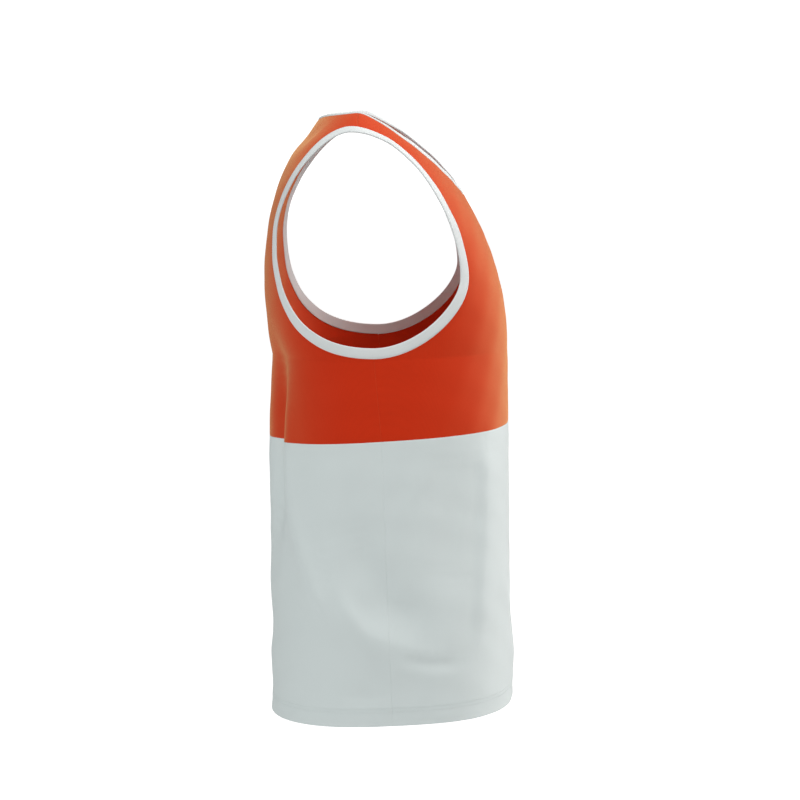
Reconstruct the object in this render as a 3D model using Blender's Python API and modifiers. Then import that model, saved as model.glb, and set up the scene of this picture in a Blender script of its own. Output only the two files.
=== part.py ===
"""A running singlet that keeps its worn shape with nobody in it.

The cloth is one smooth form, cut into the panels that a maker sews: an orange front and back above
the colour line, a pale front and back below it, and a knitted binding round the neck and each armhole.
X runs across the body, with the wearer's left at +X, the front faces -Y and +Z is up.
The origin lies midway between the two shoulder seams, where the wearer carries the garment.
"""

from typing import NamedTuple

import bmesh
import bpy
import numpy as np

# Cloth and sewing, in metres.
CLOTH = 0.0016
BINDING_THICKNESS = 0.0024
BINDING_PROUD = 0.0004
BINDING_WIDTH = 0.0115
SEAM_GAP = 0.0003

# The yoke: the cloth that curves in from the chest and over the shoulders.
SHOULDER_TOP = 0.0290
YOKE_SQUARENESS = 3.5
YOKE_SPREAD = 0.5
SHOULDER_DROP = 0.0254
SHOULDER_DROP_AT = 0.1375
SHOULDER_DROP_POWER = 1.5

# The neckline, measured from the shoulder seams: across the body, and along the cloth.
NECK_HALF_WIDTH = 0.1205
NECK_FRONT_DROP = 0.1606
NECK_FRONT_FULLNESS = 0.100
NECK_BACK_DROP = 0.046
NECK_BACK_FULLNESS = 0.070
NECK_STRAIGHTNESS = 0.5

# How finely each piece is divided.
LOWER_COLUMNS, LOWER_ROWS = 36, 15
UPPER_COLUMNS = 14
ARMHOLE_STEPS, NECK_FRONT_STEPS, NECK_BACK_STEPS, UPPER_ROWS = 15, 9, 6, 20
BINDING_COLUMNS = 3
EDGE_STEP, FOOT_ROW_DIP = 0.002, 0.006
ARC_STEPS = 24
PROFILE_STEPS = 400


class Section(NamedTuple):
    """One ring round the body. Height is below the shoulders, and the rest is measured in that ring."""

    height: float
    front: float
    back: float
    half_width: float
    side_seam: float
    front_squareness: float
    back_squareness: float
    rise: float


# height, front, back, half width, side seam, squareness in front and behind, rise towards the front
HEM = Section(-0.656, 0.1735, 0.1035, 0.1830, 0.039, 2.9, 2.5, 0.050)
HIP = Section(-0.555, 0.1705, 0.1010, 0.1810, 0.034, 2.9, 2.5, 0.055)
WAIST = Section(-0.450, 0.1690, 0.1035, 0.1780, 0.030, 2.9, 2.5, 0.060)
COLOUR_LINE = Section(-0.345, 0.1678, 0.1045, 0.1750, 0.026, 2.9, 2.5, 0.063)
CHEST = Section(-0.256, 0.1663, 0.1000, 0.1676, 0.018, 2.9, 2.6, 0.030)
SECTIONS = (HEM, HIP, WAIST, COLOUR_LINE, CHEST)

# The profile over the shoulder, as the handles of two arcs that meet on the shoulder seam.
FRONT_RISE, FRONT_REACH = -0.082, 0.0257
BACK_REACH, BACK_BULGE, BACK_BULGE_HEIGHT = 0.031, 0.135, -0.047


class Turn(NamedTuple):
    """A point where the armhole's outline turns, seen from the side, and its two handles' lengths."""

    forward: float
    height: float
    handle_before: float
    handle_after: float


# forward, height, handle before, handle after
ARMHOLE_FOOT = -0.2424
ARMHOLE_FOOT_HANDLES = (0.0771, 0.0469)
ARMHOLE_FRONT = Turn(0.1119, -0.1663, 0.0297, 0.0596)
ARMHOLE_TOP = Turn(-0.0081, -0.0099, 0.0699, 0.0299)
ARMHOLE_BACK = Turn(-0.0897, -0.1268, 0.0546, 0.0691)


class Fold(NamedTuple):
    """A ridge, or a trough where its lift is negative, on a curve through three places on one side.

    Across is forward on the sides, and to the wearer's left on the front and the back.
    """

    side: str
    start: tuple
    middle: tuple
    end: tuple
    width: float
    lift: float


# side, start, middle and end as (across, height), width, lift
FOLDS = (
    Fold("right", (-0.090, -0.250), (-0.078, -0.400), (-0.027, -0.552), 0.013, 0.0035),
    Fold("right", (-0.038, -0.458), (0.000, -0.545), (0.122, -0.577), 0.022, 0.0040),
    Fold("right", (-0.010, -0.405), (0.022, -0.500), (0.092, -0.556), 0.024, -0.0035),
    Fold("right", (-0.086, -0.427), (-0.076, -0.504), (-0.060, -0.560), 0.014, -0.0030),
    Fold("right", (0.139, -0.350), (0.138, -0.450), (0.130, -0.560), 0.014, 0.0015),
    Fold("back", (-0.080, -0.255), (-0.078, -0.340), (-0.074, -0.450), 0.020, -0.0080),
    Fold("left", (-0.088, -0.270), (-0.072, -0.420), (-0.020, -0.585), 0.014, 0.0040),
    Fold("left", (-0.048, -0.440), (0.010, -0.535), (0.118, -0.590), 0.023, 0.0035),
    Fold("left", (-0.002, -0.390), (0.034, -0.490), (0.100, -0.548), 0.025, -0.0035),
    Fold("back", (0.084, -0.265), (0.080, -0.350), (0.072, -0.470), 0.021, -0.0070),
    Fold("back", (-0.060, -0.480), (0.000, -0.530), (0.070, -0.500), 0.026, 0.0030),
    Fold("front", (-0.090, -0.560), (-0.010, -0.600), (0.080, -0.570), 0.028, 0.0030),
    Fold("front", (0.030, -0.300), (0.052, -0.400), (0.050, -0.500), 0.026, -0.0025),
)
FOLD_STEPS = 24
FOLD_FADE = 0.35

ORANGE = (0.63, 0.085, 0.025, 1.0)
PALE_GREY = (0.60, 0.66, 0.66, 1.0)
OFF_WHITE = (0.68, 0.71, 0.71, 1.0)


def through_rows(knots, values, at):
    """A cubic through the rows of a table, held level past its ends."""
    slopes = np.gradient(values, knots)
    low = np.clip(np.searchsorted(knots, at) - 1, 0, len(knots) - 2)
    span = knots[low + 1] - knots[low]
    t = np.clip((at - knots[low]) / span, 0.0, 1.0)
    ends = (1 + 2 * t) * (1 - t) ** 2 * values[low] + t * t * (3 - 2 * t) * values[low + 1]
    return ends + span * t * (1 - t) * ((1 - t) * slopes[low] - t * slopes[low + 1])


def column(name, at):
    """One column of the sections' table at the given heights."""
    knots = np.array([section.height for section in SECTIONS])
    values = np.array([getattr(section, name) for section in SECTIONS])
    return through_rows(knots, values, at)


def arc(start, handle, second_handle, end, steps):
    """A cubic Bezier arc as an array of points."""
    t = np.linspace(0.0, 1.0, steps + 1)[:, None]
    start, handle, second_handle, end = map(np.array, (start, handle, second_handle, end))
    first = (1 - t) ** 3 * start + 3 * t * (1 - t) ** 2 * handle
    return first + 3 * t * t * (1 - t) * second_handle + t**3 * end


def lengths(points):
    """The distance along a line of points, from its first."""
    steps = np.linalg.norm(np.diff(points, axis=0), axis=1)
    return np.concatenate([[0.0], np.cumsum(steps)])


def centre_profile():
    """The form's line down its middle, from the back hem over the shoulders to the front hem.

    Each point is (forward, height), and the distance along is negative behind and positive in front.
    """
    body = np.linspace(HEM.height, CHEST.height, PROFILE_STEPS + 1)
    front = np.column_stack([column("front", body), body])[::-1]
    back = np.column_stack([-column("back", body), body])
    top = (0.0, SHOULDER_TOP)
    back_yoke = arc(back[-1], (-BACK_BULGE, BACK_BULGE_HEIGHT), (-BACK_REACH, SHOULDER_TOP), top, PROFILE_STEPS)
    front_yoke = arc(top, (FRONT_REACH, SHOULDER_TOP), (CHEST.front, FRONT_RISE), front[0], PROFILE_STEPS)
    points = np.concatenate([back, back_yoke[1:], front_yoke[1:], front[1:]])
    shoulder = len(back) + PROFILE_STEPS - 1
    along = lengths(points)
    return along - along[shoulder], points


ALONG, PROFILE = centre_profile()


def along_at(height, in_front):
    """How far along the middle line a height lies, in front or behind."""
    part = ALONG >= 0 if in_front else ALONG <= 0
    heights, distances = PROFILE[part, 1], ALONG[part]
    order = np.argsort(heights)
    return float(np.interp(height, heights[order], distances[order]))


def ring_at(along):
    """The sizes of the form's ring that crosses the middle line at each distance along it."""
    forward = np.interp(along, ALONG, PROFILE[:, 0])
    height = np.interp(along, ALONG, PROFILE[:, 1])
    up_yoke = np.clip((height - CHEST.height) / (SHOULDER_TOP - CHEST.height), 0.0, 1.0)
    half_width = column("half_width", height) / (1 - YOKE_SPREAD * up_yoke**3)
    seam = column("side_seam", height) * (1 - up_yoke)
    rise = column("rise", height) * (1 - up_yoke) ** 2
    body = np.where(along > 0, column("front_squareness", height), column("back_squareness", height))
    squareness = YOKE_SQUARENESS + (body - YOKE_SQUARENESS) * (1 - up_yoke) ** 2
    drop = SHOULDER_DROP * up_yoke**SHOULDER_DROP_POWER
    return forward, height, half_width, seam, rise, squareness, drop


def smooth_form(angle, along):
    """Points of the form without its folds, as (x, y, z).

    The angle is measured round the ring from its middle, so that a quarter turn is the side seam. Each
    ring is a rounded rectangle that drops towards the shoulder's outer end.
    """
    forward, height, half_width, seam, rise, squareness, drop = ring_at(along)
    across, ahead = np.sin(angle), np.cos(angle)
    reach = (np.abs(across) ** squareness + np.abs(ahead) ** squareness) ** (-1 / squareness)
    x = half_width * across * reach
    depth = seam + (forward - seam) * ahead * reach
    z = height + rise * depth - drop * (np.abs(x) / SHOULDER_DROP_AT) ** 4
    return np.stack([x, -depth, z], axis=-1)


def slopes_of(angle, along, step=1e-4):
    """How the smooth form moves with the angle and with the distance along."""
    by_angle = smooth_form(angle + step, along) - smooth_form(angle - step, along)
    by_along = smooth_form(angle, along + step) - smooth_form(angle, along - step)
    return by_angle / (2 * step), by_along / (2 * step)


def unit(vectors):
    return vectors / np.linalg.norm(vectors, axis=-1, keepdims=True)


def outward(angle, along):
    """The form's normals, which point away from the body."""
    by_angle, by_along = slopes_of(angle, along)
    return unit(np.cross(by_along, by_angle))


def facing(side, points, normals):
    """Across and height as that side is seen, and how squarely the cloth faces it."""
    sign = {"right": -1.0, "left": 1.0, "front": -1.0, "back": 1.0}[side]
    if side in ("right", "left"):
        return -points[:, 1], points[:, 2], np.clip(sign * normals[:, 0] * 2.5, 0.0, 1.0)
    return points[:, 0], points[:, 2], np.clip(sign * normals[:, 1] * 2.0, 0.0, 1.0)


def fold_lift(points, normals):
    """How far the folds lift each point of the cloth, summed over the table.

    A fold falls off as a bell with the distance from its line, and eases to nothing at its two ends.
    """
    total = np.zeros(len(points))
    t = np.linspace(0.0, 1.0, FOLD_STEPS)[:, None]
    for fold in FOLDS:
        across, height, share = facing(fold.side, points, normals)
        start, middle, end = map(np.array, (fold.start, fold.middle, fold.end))
        handle = 2 * middle - (start + end) / 2
        line = (1 - t) ** 2 * start + 2 * t * (1 - t) * handle + t**2 * end
        step = np.diff(line, axis=0)
        across, height = across[:, None] - line[:-1, 0], height[:, None] - line[:-1, 1]
        reached = np.clip((across * step[:, 0] + height * step[:, 1]) / (step**2).sum(axis=1), 0.0, 1.0)
        away = np.hypot(across - reached * step[:, 0], height - reached * step[:, 1])
        place = (np.arange(len(step)) + reached) / len(step)
        fade = np.clip(np.minimum(place, 1 - place) / FOLD_FADE, 0.0, 1.0)
        profile = np.exp(-((away / fold.width) ** 2)) * (fade * fade * (3 - 2 * fade))
        total += fold.lift * share * profile.max(axis=1)
    return total


def cloth(angle, along, proud=0.0):
    """Points on the outside of the cloth, with its folds, raised by a constant where it stands proud."""
    points, normals = smooth_form(angle, along), outward(angle, along)
    return points + normals * (fold_lift(points, normals) + proud)[:, None]


def seen_from_side(forward, height, angle, along):
    """The angle and distance along at which the form shows those places from the side.

    The two are guesses on entry, and Newton's rule moves them until both places agree.
    """
    for _ in range(40):
        by_angle, by_along = slopes_of(angle, along)
        miss = smooth_form(angle, along)
        miss_forward, miss_height = forward + miss[:, 1], height - miss[:, 2]
        turn = -by_angle[:, 1] * by_along[:, 2] + by_angle[:, 2] * by_along[:, 1]
        step_angle = (miss_forward * by_along[:, 2] + miss_height * by_along[:, 1]) / turn
        step_along = (-by_angle[:, 1] * miss_height - by_angle[:, 2] * miss_forward) / turn
        angle = np.clip(angle + np.clip(step_angle, -0.15, 0.15), 0.02, np.pi / 2)
        along = along + np.clip(step_along, -0.03, 0.03)
    return angle, along


def armhole_outline():
    """The armhole's open edge as (angle, along), from its foot up the front and down the back."""
    foot_forward = float(column("side_seam", np.array([ARMHOLE_FOOT]))[0] * (SHOULDER_TOP - ARMHOLE_FOOT)
                         / (SHOULDER_TOP - CHEST.height))
    foot = (foot_forward, ARMHOLE_FOOT)
    front, top, back = ARMHOLE_FRONT, ARMHOLE_TOP, ARMHOLE_BACK
    lower_front = arc(foot, (foot[0] + ARMHOLE_FOOT_HANDLES[1], foot[1]),
                      (front.forward, front.height - front.handle_before), front[:2], ARC_STEPS)
    upper_front = arc(front[:2], (front.forward, front.height + front.handle_after),
                      (top.forward + top.handle_before, top.height), top[:2], ARC_STEPS)
    upper_back = arc(top[:2], (top.forward - top.handle_after, top.height),
                     (back.forward, back.height + back.handle_before), back[:2], ARC_STEPS)
    lower_back = arc(back[:2], (back.forward, back.height - back.handle_after),
                     (foot[0] - ARMHOLE_FOOT_HANDLES[0], foot[1]), foot, ARC_STEPS)
    front_part = np.concatenate([lower_front, upper_front[1:]])
    back_part = np.concatenate([upper_back, lower_back[1:]])
    share = np.linspace(0.0, 1.0, len(front_part))
    guess = np.interp(share, [0.0, 0.5, 1.0], [1.5, 0.9, 0.35])
    front_angle, front_along = seen_from_side(
        front_part[:, 0], front_part[:, 1], guess, along_at(ARMHOLE_FOOT, True) * (1 - share))
    back_angle, back_along = seen_from_side(
        back_part[:, 0], back_part[:, 1], guess[::-1], along_at(ARMHOLE_FOOT, False) * share)
    angle = np.concatenate([front_angle, back_angle[1:]])
    angle[[0, -1]] = np.pi / 2
    return angle, np.concatenate([front_along, back_along[1:]])


def angle_across(x, along):
    """The angle at which the form lies that far across."""
    _, _, half_width, _, _, squareness, _ = ring_at(along)
    share = np.clip(np.abs(x) / half_width, 0.0, 1.0)
    return np.arctan2(share, (1 - share**squareness) ** (1 / squareness))


def neck_outline():
    """The neckline's open edge on one side as (angle, along), from its front middle to its back middle."""
    front_drop, back_drop = NECK_FRONT_DROP, -NECK_BACK_DROP
    front = arc((0.0, front_drop), (NECK_FRONT_FULLNESS, front_drop),
                (NECK_HALF_WIDTH, front_drop * NECK_STRAIGHTNESS), (NECK_HALF_WIDTH, 0.0), ARC_STEPS)
    back = arc((NECK_HALF_WIDTH, 0.0), (NECK_HALF_WIDTH, back_drop * NECK_STRAIGHTNESS),
               (NECK_BACK_FULLNESS, back_drop), (0.0, back_drop), ARC_STEPS)
    outline = np.concatenate([front, back[1:]])
    return angle_across(outline[:, 0], outline[:, 1]), outline[:, 1]


def set_back(angle, along, distance, closed_over):
    """A line on the form, moved over its surface and away from the opening by a distance.

    closed_over says how its two ends continue, as the signs of x for the points before and after.
    """
    points = smooth_form(angle, along)
    before, after = points[-2] * closed_over, points[1] * closed_over
    ahead = np.concatenate([points[1:], [after if closed_over[0] > 0 else points[-2] * closed_over]])
    behind = np.concatenate([[before if closed_over[0] > 0 else points[1] * closed_over], points[:-1]])
    away = unit(np.cross(outward(angle, along), unit(ahead - behind))) * distance
    by_angle, by_along = slopes_of(angle, along)
    aa, ll = (by_angle**2).sum(axis=1), (by_along**2).sum(axis=1)
    al = (by_angle * by_along).sum(axis=1)
    a, b = (by_angle * away).sum(axis=1), (by_along * away).sum(axis=1)
    spread = aa * ll - al**2
    return angle + (a * ll - b * al) / spread, along + (b * aa - a * al) / spread


def stations(angle, along, front_steps, back_steps):
    """The outline at the points that its pieces share, evenly spaced in front and again behind.

    One point lies on the shoulder seam, with a narrow step on either side of it.
    """
    distance = lengths(smooth_form(angle, along))
    top = float(np.interp(0.0, -along, distance))
    front = np.append(np.linspace(0.0, top - EDGE_STEP, front_steps), top)
    back = np.linspace(top + EDGE_STEP, distance[-1], back_steps)
    at = np.concatenate([front, back])
    return np.interp(at, distance, angle), np.interp(at, distance, along)


LOOP = np.array([1.0, 1.0, 1.0])
MIRRORED = np.array([-1.0, 1.0, 1.0])
ARMHOLE = stations(*armhole_outline(), ARMHOLE_STEPS, ARMHOLE_STEPS)
NECK = stations(*neck_outline(), NECK_FRONT_STEPS, NECK_BACK_STEPS)


def half_of(line, steps, in_front):
    """The stretch of a line from its end on the body up to the shoulder seam, in front or behind."""
    angle, along = line if in_front else (line[0][::-1], line[1][::-1])
    angle, along = angle[:steps + 1].copy(), along[:steps + 1].copy()
    stop = SEAM_GAP / 2 if in_front else -SEAM_GAP / 2
    share = (along[-2] - stop) / (along[-2] - along[-1])
    angle[-1], along[-1] = angle[-2] + share * (angle[-1] - angle[-2]), stop
    return angle, along


def side_edge(height, in_front):
    """The angle of a panel's side edge, which stops short of the side seam by half the gap."""
    middle = column("front" if in_front else "back", np.array([height]))[0]
    seam = column("side_seam", np.array([height]))[0]
    return np.pi / 2 - SEAM_GAP / 2 / (middle - seam if in_front else middle + seam)


def edged(share, steps, width):
    """Shares across a piece in even steps, but with a narrow step at each edge."""
    step = np.rint(share * steps)
    margin = EDGE_STEP / width
    inner = margin + (1 - 2 * margin) * (step - 1) / (steps - 2)
    return np.where(step == 0, 0.0, np.where(step == steps, 1.0, inner))


def upper_edges(in_front):
    """An upper panel's outer and inner edges on one side, as (angle, along) from the colour line up."""
    sign = 1.0 if in_front else -1.0
    line = along_at(COLOUR_LINE.height, in_front) - sign * SEAM_GAP / 2
    margin = BINDING_WIDTH + SEAM_GAP
    armhole = half_of(set_back(*ARMHOLE, margin, LOOP), ARMHOLE_STEPS, in_front)
    neck_steps = NECK_FRONT_STEPS if in_front else NECK_BACK_STEPS
    neck = half_of(set_back(*NECK, -margin, MIRRORED), neck_steps, in_front)
    edge = side_edge(CHEST.height, in_front)
    start, foot = line - sign * EDGE_STEP, armhole[1][0]
    below = UPPER_ROWS - ARMHOLE_STEPS
    side = np.append(line, np.linspace(start, foot, below))[:-1]
    above = np.linspace(foot + sign * FOOT_ROW_DIP, neck[1][0], UPPER_ROWS - neck_steps - below + 1)
    centre = np.concatenate([[line], np.linspace(start, above[0], below)[:-1], above])[:-1]
    outer_angle = np.concatenate([np.full(len(side), edge), np.minimum(armhole[0], edge)])
    inner_angle = np.concatenate([np.zeros(len(centre) + 1), neck[0][1:]])
    outer = outer_angle, np.concatenate([side, armhole[1]])
    return outer, (inner_angle, np.concatenate([centre, neck[1]]))


def grid(name, columns, rows, place, flip):
    """A flat grid of faces whose points are placed on the cloth by a function of its two shares."""
    mesh = bmesh.new()
    bmesh.ops.create_grid(mesh, x_segments=columns, y_segments=rows, size=0.5)
    flat = np.array([vertex.co[:2] for vertex in mesh.verts]) + 0.5
    for vertex, point in zip(mesh.verts, place(flat[:, 0], flat[:, 1])):
        vertex.co = point
    if flip:
        bmesh.ops.reverse_faces(mesh, faces=mesh.faces)
    data = bpy.data.meshes.new(name)
    mesh.to_mesh(data)
    mesh.free()
    return data


def merged(name, sheets):
    """Several sheets as one mesh, sewn where their points meet."""
    mesh = bmesh.new()
    for sheet in sheets:
        mesh.from_mesh(sheet)
        bpy.data.meshes.remove(sheet)
    bmesh.ops.remove_doubles(mesh, verts=mesh.verts, dist=1e-5)
    data = bpy.data.meshes.new(name)
    mesh.to_mesh(data)
    mesh.free()
    return data


def spread_angles(share, in_front, edge):
    """Angles across a whole panel, closer together where the back turns into the sides."""
    dense = np.linspace(-edge, edge, 361)
    weight = np.ones_like(dense)
    if not in_front:
        weight += 1.6 * np.exp(-(((np.abs(dense) - 0.68) / 0.24) ** 2))
    total = np.concatenate([[0.0], np.cumsum((weight[1:] + weight[:-1]) / 2)])
    return np.interp(share, total / total[-1], dense)


def lower_panel(name, in_front):
    """The pale panel from the hem to the colour line, across from side seam to side seam."""
    sign = 1.0 if in_front else -1.0
    hem = along_at(HEM.height, in_front)
    line = along_at(COLOUR_LINE.height, in_front) + sign * SEAM_GAP / 2
    edge = side_edge(WAIST.height, in_front)

    def place(across, up):
        across = edged(across, LOWER_COLUMNS, 2.8 * WAIST.half_width)
        up = edged(up, LOWER_ROWS, abs(line - hem))
        return cloth(spread_angles(across, in_front, edge), hem + (line - hem) * up)

    return grid(name, LOWER_COLUMNS, LOWER_ROWS, place, flip=not in_front)


def upper_panel(name, in_front):
    """The orange panel from the colour line to the shoulders, as two halves joined below the neck."""
    outer, inner = upper_edges(in_front)
    halves = []
    for side in (-1.0, 1.0):

        def place(across, up, side=side):
            row = np.rint(up * UPPER_ROWS).astype(int)
            across = edged(across, UPPER_COLUMNS, CHEST.half_width)
            angle = outer[0][row] + (inner[0][row] - outer[0][row]) * across
            along = outer[1][row] + (inner[1][row] - outer[1][row]) * across
            return cloth(side * angle, along)

        halves.append(grid(name, UPPER_COLUMNS, UPPER_ROWS, place, flip=(side > 0) == in_front))
    return merged(name, halves)


def binding_strip(name, lines, steps, flip):
    """A strip round an opening between two lines on the form, its ends joined."""
    (edge_angle, edge_along), (seam_angles, seam_along) = lines

    def place(across, up):
        step = np.rint(across * steps).astype(int)
        up = edged(up, BINDING_COLUMNS, BINDING_WIDTH)
        angle = edge_angle[step] + (seam_angles[step] - edge_angle[step]) * up
        along = edge_along[step] + (seam_along[step] - edge_along[step]) * up
        return cloth(angle, along, BINDING_PROUD)

    data = grid(name, steps, BINDING_COLUMNS, place, flip)
    return merged(name, [data])


def armhole_binding(name, side):
    """The binding round one armhole, on the right where side is negative."""
    seam = set_back(*ARMHOLE, BINDING_WIDTH, LOOP)
    seam[0][[0, -1]] = np.pi / 2
    seam[1][-1] = along_at(float(ring_at(seam[1][:1])[1][0]), False)
    lines = (side * ARMHOLE[0], ARMHOLE[1]), (side * seam[0], seam[1])
    return binding_strip(name, lines, len(ARMHOLE[0]) - 1, flip=side < 0)


def neck_binding(name):
    """The binding all round the neckline, from the front middle by the wearer's left and back again."""
    seam = set_back(*NECK, -BINDING_WIDTH, MIRRORED)
    seam[0][[0, -1]] = 0.0
    both = [(np.concatenate([angle, -angle[-2::-1]]), np.concatenate([along, along[-2::-1]]))
            for angle, along in (NECK, seam)]
    return binding_strip(name, both, len(both[0][0]) - 1, flip=True)


def finish(name, colour, roughness):
    """A plain cloth material."""
    material = bpy.data.materials.new(name)
    material.use_nodes = True
    shader = material.node_tree.nodes["Principled BSDF"]
    shader.inputs["Base Color"].default_value = colour
    shader.inputs["Roughness"].default_value = roughness
    shader.inputs["Metallic"].default_value = 0.0
    return material


def sew(collection, data, thickness, material):
    """An open sheet as an object with the cloth's thickness inside it."""
    data.shade_smooth()
    data.materials.append(material)
    piece = bpy.data.objects.new(data.name, data)
    collection.objects.link(piece)
    wall = piece.modifiers.new("Thickness", "SOLIDIFY")
    wall.thickness = thickness
    wall.offset = -1.0
    return piece


def main():
    for old in list(bpy.data.objects):
        bpy.data.objects.remove(old, do_unlink=True)
    singlet = bpy.data.collections.new("running_singlet")
    bpy.context.scene.collection.children.link(singlet)
    orange = finish("orange_knit", ORANGE, 0.75)
    pale = finish("pale_knit", PALE_GREY, 0.75)
    rib = finish("binding_knit", OFF_WHITE, 0.8)
    sew(singlet, upper_panel("front_upper", True), CLOTH, orange)
    sew(singlet, upper_panel("back_upper", False), CLOTH, orange)
    sew(singlet, lower_panel("front_lower", True), CLOTH, pale)
    sew(singlet, lower_panel("back_lower", False), CLOTH, pale)
    sew(singlet, neck_binding("neck_binding"), BINDING_THICKNESS, rib)
    sew(singlet, armhole_binding("armhole_binding_right", -1.0), BINDING_THICKNESS, rib)
    sew(singlet, armhole_binding("armhole_binding_left", 1.0), BINDING_THICKNESS, rib)


main()
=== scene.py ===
"""Looks of a running singlet that keeps its worn shape with nobody in it.

The garment's solids fix its shape. This script lays finer cloth on the same worn form: the four
panels with their folds, the knitted bindings round the neck and the armholes, and the hem's and the
bindings' stitching. Everything is in metres, with the front towards -Y and the wearer's left at +X.
"""

from __future__ import annotations

import logging
import math
from dataclasses import dataclass, field
from enum import Enum

import bmesh
import bpy
import numpy as np
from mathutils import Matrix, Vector

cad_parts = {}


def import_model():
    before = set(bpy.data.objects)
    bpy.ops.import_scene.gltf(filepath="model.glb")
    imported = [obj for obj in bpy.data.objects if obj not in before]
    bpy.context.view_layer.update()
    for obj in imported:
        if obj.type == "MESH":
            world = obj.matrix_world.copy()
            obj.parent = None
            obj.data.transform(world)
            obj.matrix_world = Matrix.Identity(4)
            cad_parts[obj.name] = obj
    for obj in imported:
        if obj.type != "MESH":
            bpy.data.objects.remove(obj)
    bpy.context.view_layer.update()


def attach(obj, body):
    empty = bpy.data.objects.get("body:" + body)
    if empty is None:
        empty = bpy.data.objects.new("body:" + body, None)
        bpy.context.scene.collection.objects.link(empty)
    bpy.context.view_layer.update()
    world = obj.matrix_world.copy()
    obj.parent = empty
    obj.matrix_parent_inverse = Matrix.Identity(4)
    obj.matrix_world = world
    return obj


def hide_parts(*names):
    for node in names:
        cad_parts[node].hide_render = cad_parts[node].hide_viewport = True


LOG = logging.getLogger("running_singlet")

# The angle of the side seams, a quarter turn from the middle of the front or the back.
SIDE_SEAM = np.pi / 2
# Signs of x, y and z for the points past a line's ends: a loop's go on, and a half's are mirrored.
LOOP = (1.0, 1.0, 1.0)
MIRRORED = (-1.0, 1.0, 1.0)
# Where a grid's rows stand beside its edge, in finest steps, and where its even rows begin.
FINE_PLACES = np.array([0.0, 1.0, 2.2, 4.0, 6.5])
EVEN_FROM = 10
# Points of a mesh that lie closer than this are one point.
MERGE_DISTANCE = 2e-6
MM_IN_METRE = 1000.0


class Side(Enum):
    """The side of the garment on which a fold is placed.

    Its values are the axis and the sign that face it, and how soon a fold is at its full lift where the
    cloth turns to face it.
    """

    RIGHT = (0, -1.0, 2.5)
    LEFT = (0, 1.0, 2.5)
    FRONT = (1, -1.0, 2.0)
    BACK = (1, 1.0, 2.0)


@dataclass(frozen=True)
class Section:
    """One ring round the body. Its height is below the shoulders.

    Front, back, half_width and side_seam are the ring's reach in front, behind and to each side, and how
    far forward its side seam lies. The squarenesses round its corners, and rise lifts its front.
    """

    height: float
    front: float
    back: float
    half_width: float
    side_seam: float
    front_squareness: float
    back_squareness: float
    rise: float


@dataclass(frozen=True)
class Turn:
    """A point where the armhole's outline turns, seen from the side, and its two handles' lengths."""

    forward: float
    height: float
    handle_before: float
    handle_after: float


@dataclass(frozen=True)
class Fold:
    """A ridge, or a trough where its lift is negative, on a curve through three places.

    Each place is (across, height): across is forward on the sides, and to the wearer's left in front and
    behind. Lean makes the fold steeper on one flank, and fade is the share of it that runs out at its ends.
    """

    side: Side
    start: tuple[float, float]
    middle: tuple[float, float]
    end: tuple[float, float]
    width: float
    lift: float
    lean: float = 0.0
    fade: float = 0.35


@dataclass(frozen=True)
class Line:
    """A line on the worn form: its points' angles round the body and distances along the middle."""

    angle: np.ndarray
    along: np.ndarray

    def mirrored(self) -> "Line":
        """The same line on the other side of the body."""
        return Line(-self.angle, self.along)

    def reversed(self) -> "Line":
        """The same line run from its other end."""
        return Line(self.angle[::-1], self.along[::-1])


def unit(vectors: np.ndarray) -> np.ndarray:
    """The vectors scaled to a length of one."""
    return vectors / np.linalg.norm(vectors, axis=-1, keepdims=True)


def lengths(points: np.ndarray) -> np.ndarray:
    """The distance along a line of points, from its first."""
    steps = np.linalg.norm(np.diff(points, axis=0), axis=1)
    return np.concatenate([[0.0], np.cumsum(steps)])


def arc(start: np.ndarray | tuple, handle: np.ndarray | tuple, second_handle: np.ndarray | tuple,
        end: np.ndarray | tuple, steps: int) -> np.ndarray:
    """A cubic Bezier arc.

    Args:
        start: Its first point.
        handle: The point that it leaves towards.
        second_handle: The point that it arrives from.
        end: Its last point.
        steps: How many steps to divide it in.

    Returns:
        The points, (1-t)^3 a + 3t(1-t)^2 b + 3t^2(1-t) c + t^3 d for even steps of t.
    """
    t = np.linspace(0.0, 1.0, steps + 1)[:, None]
    a, b, c, d = map(np.array, (start, handle, second_handle, end))
    return (1 - t) ** 3 * a + 3 * t * (1 - t) ** 2 * b + 3 * t * t * (1 - t) * c + t**3 * d


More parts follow.
